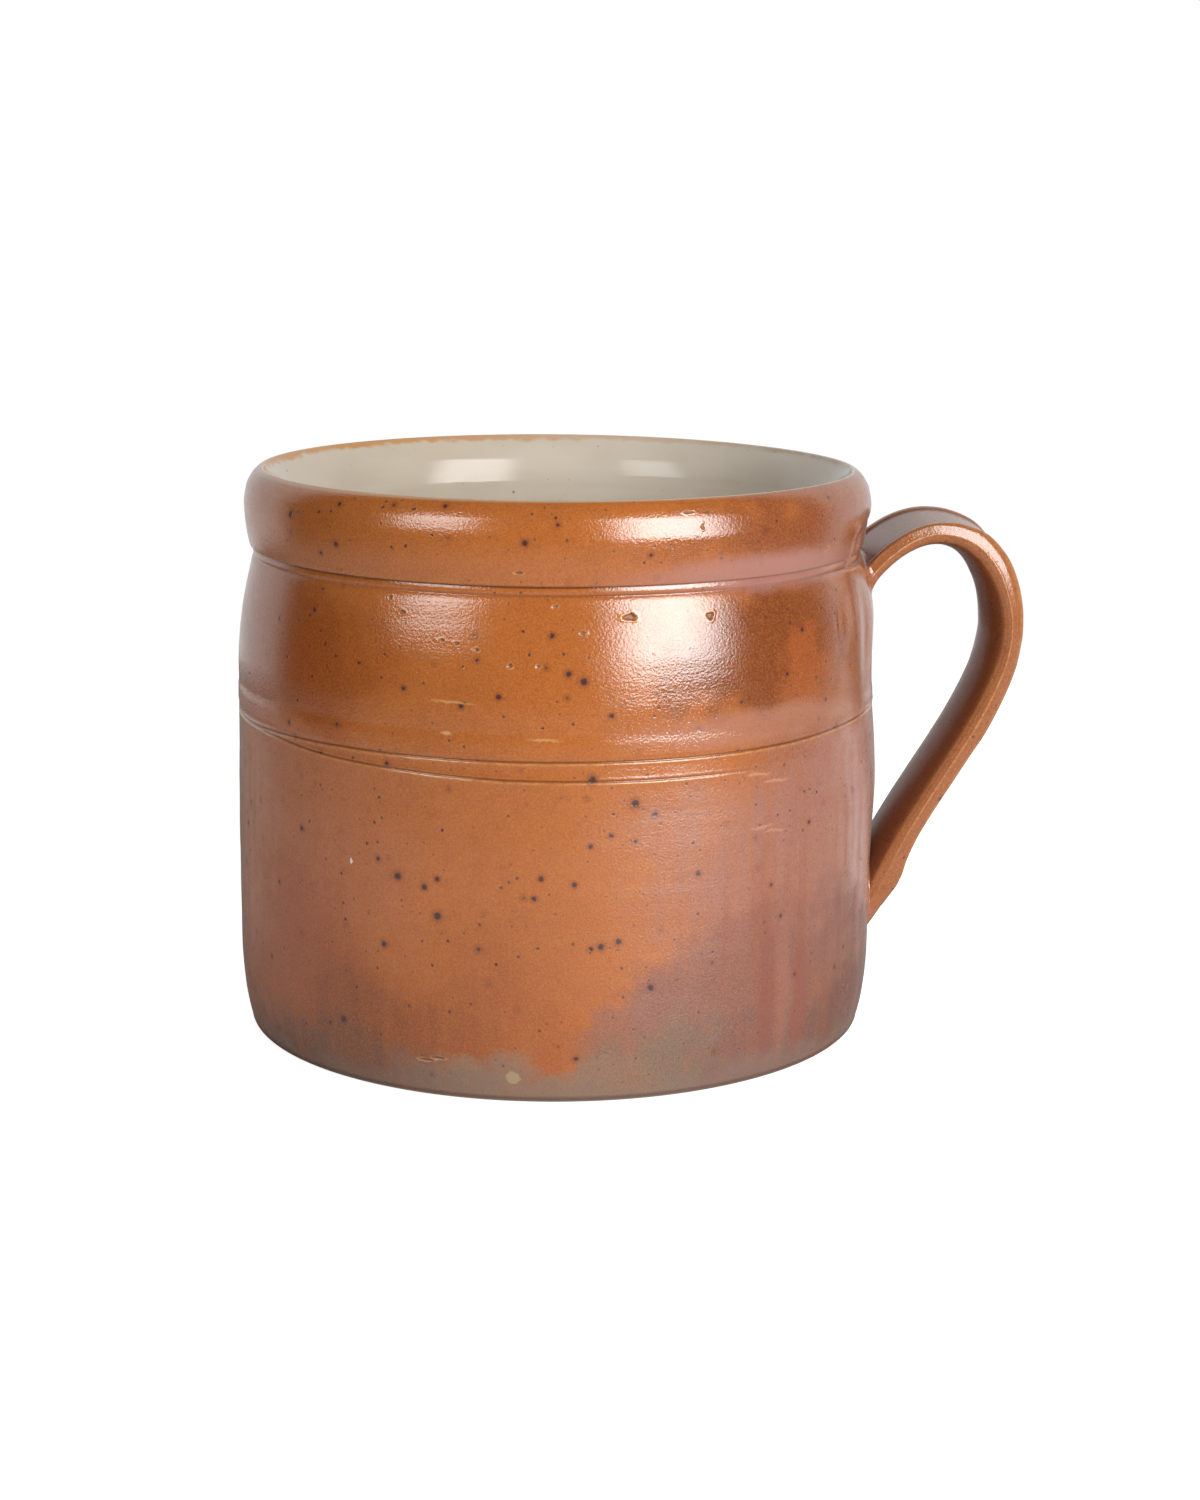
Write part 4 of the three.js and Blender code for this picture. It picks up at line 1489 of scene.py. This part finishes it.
    def foot_and_lip(self, p: Palette, colour: Socket, roughness: Socket, height: Socket,
                     body: JarBody) -> tuple[Socket, Socket]:
        """Greys the foot with ash, paints shade along the foot's lower edge, thins the glaze at the lip and
        leaves the underside bare.

        Args:
            p: the material's palette.
            colour: colour so far.
            roughness: roughness so far.
            height: Z coordinate.
            body: the jar.

        Returns:
            The new colour and roughness.
        """
        wander = p.node("Math", {0: p.mottling((22.0, 22.0, 14.0), 5.0, 12.0), 1: 0.5}, operation="SUBTRACT")
        ashen = p.node("Math", {0: wander, 1: 45.0 * MM, 2: height}, operation="MULTIPLY_ADD")
        foot = {"From Min": 14.0 * MM, "From Max": 1.0 * MM, "To Max": 0.5}
        low = p.node("MapRange", {"Value": ashen, **foot}, **SMOOTH)
        roughness = p.node("Math", {0: low, 1: 0.3, 2: roughness}, operation="MULTIPLY_ADD")
        level = p.node("VectorMath", {0: p.place, 1: (1.0, 1.0, 0.0)}, operation="MULTIPLY")
        radius = p.node("VectorMath", {0: level}, "Value", operation="LENGTH")
        mouth = {"From Min": (body.lip_radius + 0.9) * MM, "From Max": (body.lip_radius + 0.2) * MM}
        inner = p.node("MapRange", {"Value": radius, **mouth}, **SMOOTH)
        top = {"From Min": (body.height - 6.0) * MM, "From Max": (body.height - 2.0) * MM, "To Max": 0.8}
        crest = p.node("MapRange", {"Value": height, **top}, **SMOOTH)
        crest = p.node("Math", {0: inner, 1: crest}, operation="MULTIPLY")
        colour = p.layered(colour, ((low, self.ash), (crest, self.clay)))
        # painted shade: a dark line along the lowest millimetres of the foot, where it meets the table
        colour = p.broken_over(colour, self.pooled_and_shade, height, 2.6 * MM, 1.2 * MM, 0.6)
        under = p.node("MapRange", {"Value": height, "From Min": 1.2 * MM, "From Max": 0.2 * MM}, **SMOOTH)
        roughness = p.node("Math", {0: under, 1: 0.3, 2: roughness}, operation="MULTIPLY_ADD")
        return p.layered(colour, ((under, self.bare),)), roughness


@dataclass(frozen=True)
class PouredGlaze:
    """Pale feldspar glaze poured inside.

    It gives the eye a milky grey gloss with a few iron specks, which turns tan where it thins at the lip. It
    is painted darker towards the left of the inside and lighter towards its right, as shade and light.
    """

    name: str = "poured_pale_glaze"
    milk: str = "d4c9b9"
    # colour where the glaze is darker at random, also laid as painted shade towards the left of the inside
    shade: str = "c3b6a4"
    tan: str = "c08a55"
    speck: str = "6a5342"
    ior: float = 1.42

    def dress(self, body: JarBody) -> bpy.types.Material:
        """Makes the material.

        Args:
            body: the jar, whose lip the glaze thins out at.

        Returns:
            The material.
        """
        p = Palette(self.name)
        side = p.node("SeparateXYZ", {0: p.place}, "X")
        height = side.node.outputs["Z"]
        cloud = p.mottling((30.0, 30.0, 12.0), 3.0, 2.0)
        # painted shade and light: darker towards the left of the inside, lighter towards the right, mixed
        # with random tone
        far = p.node("MapRange", {"Value": side, "From Min": 80.0 * MM, "From Max": -60.0 * MM}, **SMOOTH)
        uneven = {"From Min": 0.35, "From Max": 0.7, "To Min": -0.2, "To Max": 0.2}
        uneven = p.node("MapRange", {"Value": cloud, **uneven}, **SMOOTH)
        painted_shade_and_tone = p.node("Math", {0: far, 1: uneven}, use_clamp=True)
        specks = {0: p.specks(11.0, 0.3, 0.4, 0.7), 1: p.specks(5.0, 0.15, 0.25, 0.35)}
        specks = p.node("Math", specks, operation="MAXIMUM")
        wander = p.node("Math", {0: p.mottling((5.0, 5.0, 3.0), 4.0), 1: 0.5}, operation="SUBTRACT")
        ragged = p.node("Math", {0: wander, 1: 4.0 * MM, 2: height}, operation="MULTIPLY_ADD")
        edge = {"From Min": (body.height - 2.4) * MM, "From Max": (body.height - 0.8) * MM}
        edge = p.node("MapRange", {"Value": ragged, **edge}, **SMOOTH)
        thin = {"From Min": 40.0 * MM, "From Max": -50.0 * MM, "To Min": 0.4, "To Max": 0.9}
        thin = p.node("MapRange", {"Value": side, **thin}, **SMOOTH)
        thinned = p.node("Math", {0: edge, 1: thin}, operation="MULTIPLY")
        coats = ((painted_shade_and_tone, self.shade), (specks, self.speck), (thinned, self.tan))
        gloss = {"From Min": 0.3, "From Max": 0.7, "To Min": 0.05, "To Max": 0.09}
        roughness = p.node("MapRange", {"Value": cloud, **gloss}, **SMOOTH)
        normal = p.relief(((p.mottling((14.0, 14.0, 2.4), 2.0, 9.0), 0.12, 0.3),))
        return p.finish(p.layered(self.milk, coats), roughness, normal, self.ior)


# The studio


@dataclass(frozen=True)
class SoftBox:
    """An upright soft box that faces the jar and fades towards its edges, least at its lower one.

    Attributes:
        name: name of the light.
        angle: degrees round the jar from the eye's side, positive to the right.
        low: height of its lower edge.
        high: height of its upper edge.
        width: its width.
        radiance: brightness of its middle, where 1 is white paper in full light.
        fade: share of its width over which it fades to each side, and of its height to the low and the
            high edge.
        distance: from the jar's axis.
    """

    name: str
    angle: float
    low: float
    high: float
    width: float
    radiance: float
    fade: tuple[float, float, float]
    distance: float = 1900.0

    def hang(self, heading: float) -> None:
        """Adds the light.

        Args:
            heading: degrees by which the eye's side is turned round the jar.
        """
        clear_selection()
        turn = math.radians(heading + self.angle)
        toward = Vector((math.sin(turn), -math.cos(turn), 0.0))
        place = toward * self.distance * MM
        place.z = (self.low + self.high) / 2.0 * MM
        bpy.ops.object.light_add(type="AREA", location=place)
        lamp = bpy.context.object
        lamp.name = self.name
        lamp.rotation_euler = toward.to_track_quat("Z", "Y").to_euler()
        lamp.data.shape = "RECTANGLE"
        lamp.data.size = self.width * MM
        lamp.data.size_y = (self.high - self.low) * MM
        lamp.data.energy = self.radiance * math.pi * lamp.data.size * lamp.data.size_y
        lamp.data.use_nodes = True
        tree = lamp.data.node_tree
        tree.nodes.clear()
        node = partial(add_node, tree)
        across = node("SeparateXYZ", {0: node("NewGeometry", output="Parametric")}, "X")
        up = across.node.outputs["Y"]
        side, low, high = self.fade
        level = 1.0
        for way, near, far in ((across, side, side), (up, low, high)):
            back = node("Math", {0: 1.0, 1: way}, operation="SUBTRACT")
            for edge, share in ((way, near), (back, far)):
                rise = node("MapRange", {"Value": edge, "From Max": share}, **SMOOTH)
                level = node("Math", {0: rise, 1: level}, operation="MULTIPLY")
        node("OutputLight", {"Surface": node("Emission", {"Strength": level})})


@dataclass
class Studio:
    """White table with two soft boxes in front of it, in an otherwise dim room with a white wall behind."""

    eye: tuple[float, float, float] = (-78.4, -895.8, 284.4)
    pitch: float = 12.343
    heading: float = -5.95
    roll: float = 0.289
    lens: float = 66.25
    table_radius: float = 700.0
    table_drop: float = 0.2
    table_glow: float = 0.78
    boxes: tuple[SoftBox, ...] = (
        SoftBox("key_box", 41.5, 40.0, 2000.0, 1850.0, 8.8, (0.35, 0.03, 0.26)),
        SoftBox("fill_box", -44.0, 520.0, 1900.0, 1300.0, 4.3, (0.32, 0.03, 0.22)),
    )

    def build(self) -> None:
        """Sets up the table, the lights, the room and the camera."""
        self.lay_table()
        for box in self.boxes:
            box.hang(self.heading)
        self.paint_room()
        self.place_camera()

    def facing(self) -> Vector:
        """Level direction in which the camera looks."""
        turn = math.radians(self.heading)
        return Vector((-math.sin(turn), math.cos(turn), 0.0))

    def lay_table(self) -> None:
        """Lays a round white table top just under the jar's foot."""
        clear_selection()
        bpy.ops.mesh.primitive_circle_add(vertices=160, radius=self.table_radius * MM, fill_type="NGON",
                                          location=(0.0, 0.0, -self.table_drop * MM))
        table = bpy.context.object
        table.name = "white_table"
        bpy.ops.object.transform_apply(location=True, rotation=True, scale=True)
        material = bpy.data.materials.new("white_laminate_table")
        material.use_nodes = True
        tree = material.node_tree
        tree.nodes.clear()
        node = partial(add_node, tree)
        to_camera = node("LightPath", output="Is Camera Ray")
        to_glaze = to_camera.node.outputs["Is Glossy Ray"]
        seen = node("Math", {0: to_camera, 1: self.table_glow}, operation="MULTIPLY")
        white = node("Emission", {"Color": "ffffff", "Strength": seen})
        paper = node("Mix", {0: to_glaze, 6: "f0efee", 7: "b4b3b2"}, 2, data_type="RGBA")
        lit = node("BsdfDiffuse", {"Color": paper})
        node("OutputMaterial", {"Surface": node("AddShader", {0: lit, 1: white})})
        table.data.materials.append(material)

    def paint_room(self) -> None:
        """White to the camera; to the glaze a white wall behind the jar and a dim room in front."""
        world = bpy.data.worlds.new("studio_room")
        bpy.context.scene.world = world
        world.use_nodes = True
        tree = world.node_tree
        tree.nodes.clear()
        node = partial(add_node, tree)
        ray = node("TexCoord", output="Generated")
        ahead = node("VectorMath", {0: ray, 1: tuple(self.facing())}, "Value", operation="DOT_PRODUCT")
        wall = {"From Min": 0.3, "From Max": 0.55, "To Min": 0.03, "To Max": 0.75}
        wall = node("MapRange", {"Value": ahead, **wall}, **SMOOTH)
        room = node("Background", {"Color": "ffffff", "Strength": wall})
        paper = node("Background", {"Color": "ffffff", "Strength": 1.0})
        to_camera = node("LightPath", output="Is Camera Ray")
        node("OutputWorld", {"Surface": node("MixShader", {0: to_camera, 1: room, 2: paper})})

    def place_camera(self) -> None:
        """Sets the camera where the photograph was taken from."""
        clear_selection()
        bpy.ops.object.camera_add()
        camera = bpy.context.object
        camera.name = "photo_camera"
        camera.data.lens = self.lens
        pitch = math.radians(self.pitch)
        ahead = self.facing() * math.cos(pitch) - Vector((0.0, 0.0, math.sin(pitch)))
        right = ahead.cross(Vector((0.0, 0.0, 1.0))).normalized()
        up = right.cross(ahead)
        turn = math.radians(self.roll)
        rolled_right = right * math.cos(turn) + up * math.sin(turn)
        rolled_up = up * math.cos(turn) - right * math.sin(turn)
        frame = Matrix((rolled_right, rolled_up, -ahead)).transposed().to_4x4()
        frame.translation = Vector(self.eye) * MM
        camera.matrix_world = frame
        bpy.context.scene.camera = camera


@dataclass
class HandledJar:
    """The whole jar: its pieces, what they stand for and their finishes."""

    body: JarBody = field(default_factory=JarBody)
    strap: HandleStrap = field(default_factory=HandleStrap)

    def build(self) -> None:
        """Makes every piece, dresses it and hangs it on the frame."""
        root = LutingWad(self.body, self.strap, StrapEnd.ROOT, "smeared_root_wad")
        tail = LutingWad(self.body, self.strap, StrapEnd.TAIL, "thumbed_tail_wad")
        wall = SaltGlaze("salt_glazed_stoneware_thrown").dress(self.body)
        pulled = SaltGlaze("salt_glazed_stoneware_pulled", orange="9e603d", brown="78401f", zones=False,
                           belly=True, ior=1.7)
        smeared = SaltGlaze("salt_glazed_stoneware_smeared", orange="a0644a", brown="885038", zones=False)
        pale = PouredGlaze().dress(self.body)
        smear_finish = smeared.dress(self.body)
        self.place(self.body.build(), "jar_body", "stoneware", wall)
        self.place(GlazeLining(self.body).build(), "glaze_lining", "pale_glaze", pale)
        self.place(self.strap.build(), "handle_strap", "handle_clay", pulled.dress(self.body))
        self.place(root.build(), "root_luting_wad", "luting_clay", smear_finish)
        self.place(tail.build(), "tail_luting_wad", "luting_clay", smear_finish)

    @staticmethod
    def place(piece: bpy.types.Object, node: str, slot: str, material: bpy.types.Material) -> None:
        """Dresses one piece and hangs it on the frame in the stead of its solid.

        Args:
            piece: the finished mesh.
            node: the solid that it stands for.
            slot: the record's material slot; not used.
            material: its finish.
        """
        piece.data.materials.clear()
        piece.data.materials.append(material)
        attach(piece, BODY)
        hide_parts(node)
        LOG.info("%s stands for %s, %d faces", piece.name, node, len(piece.data.polygons))


def main() -> None:
    """Loads the frame, builds the jar and its studio."""
    logging.basicConfig(level=logging.INFO, format="%(name)s: %(message)s")
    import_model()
    bpy.context.scene.view_settings.view_transform = "Standard"
    HandledJar().build()
    Studio().build()


if __name__ == "__main__":
    main()
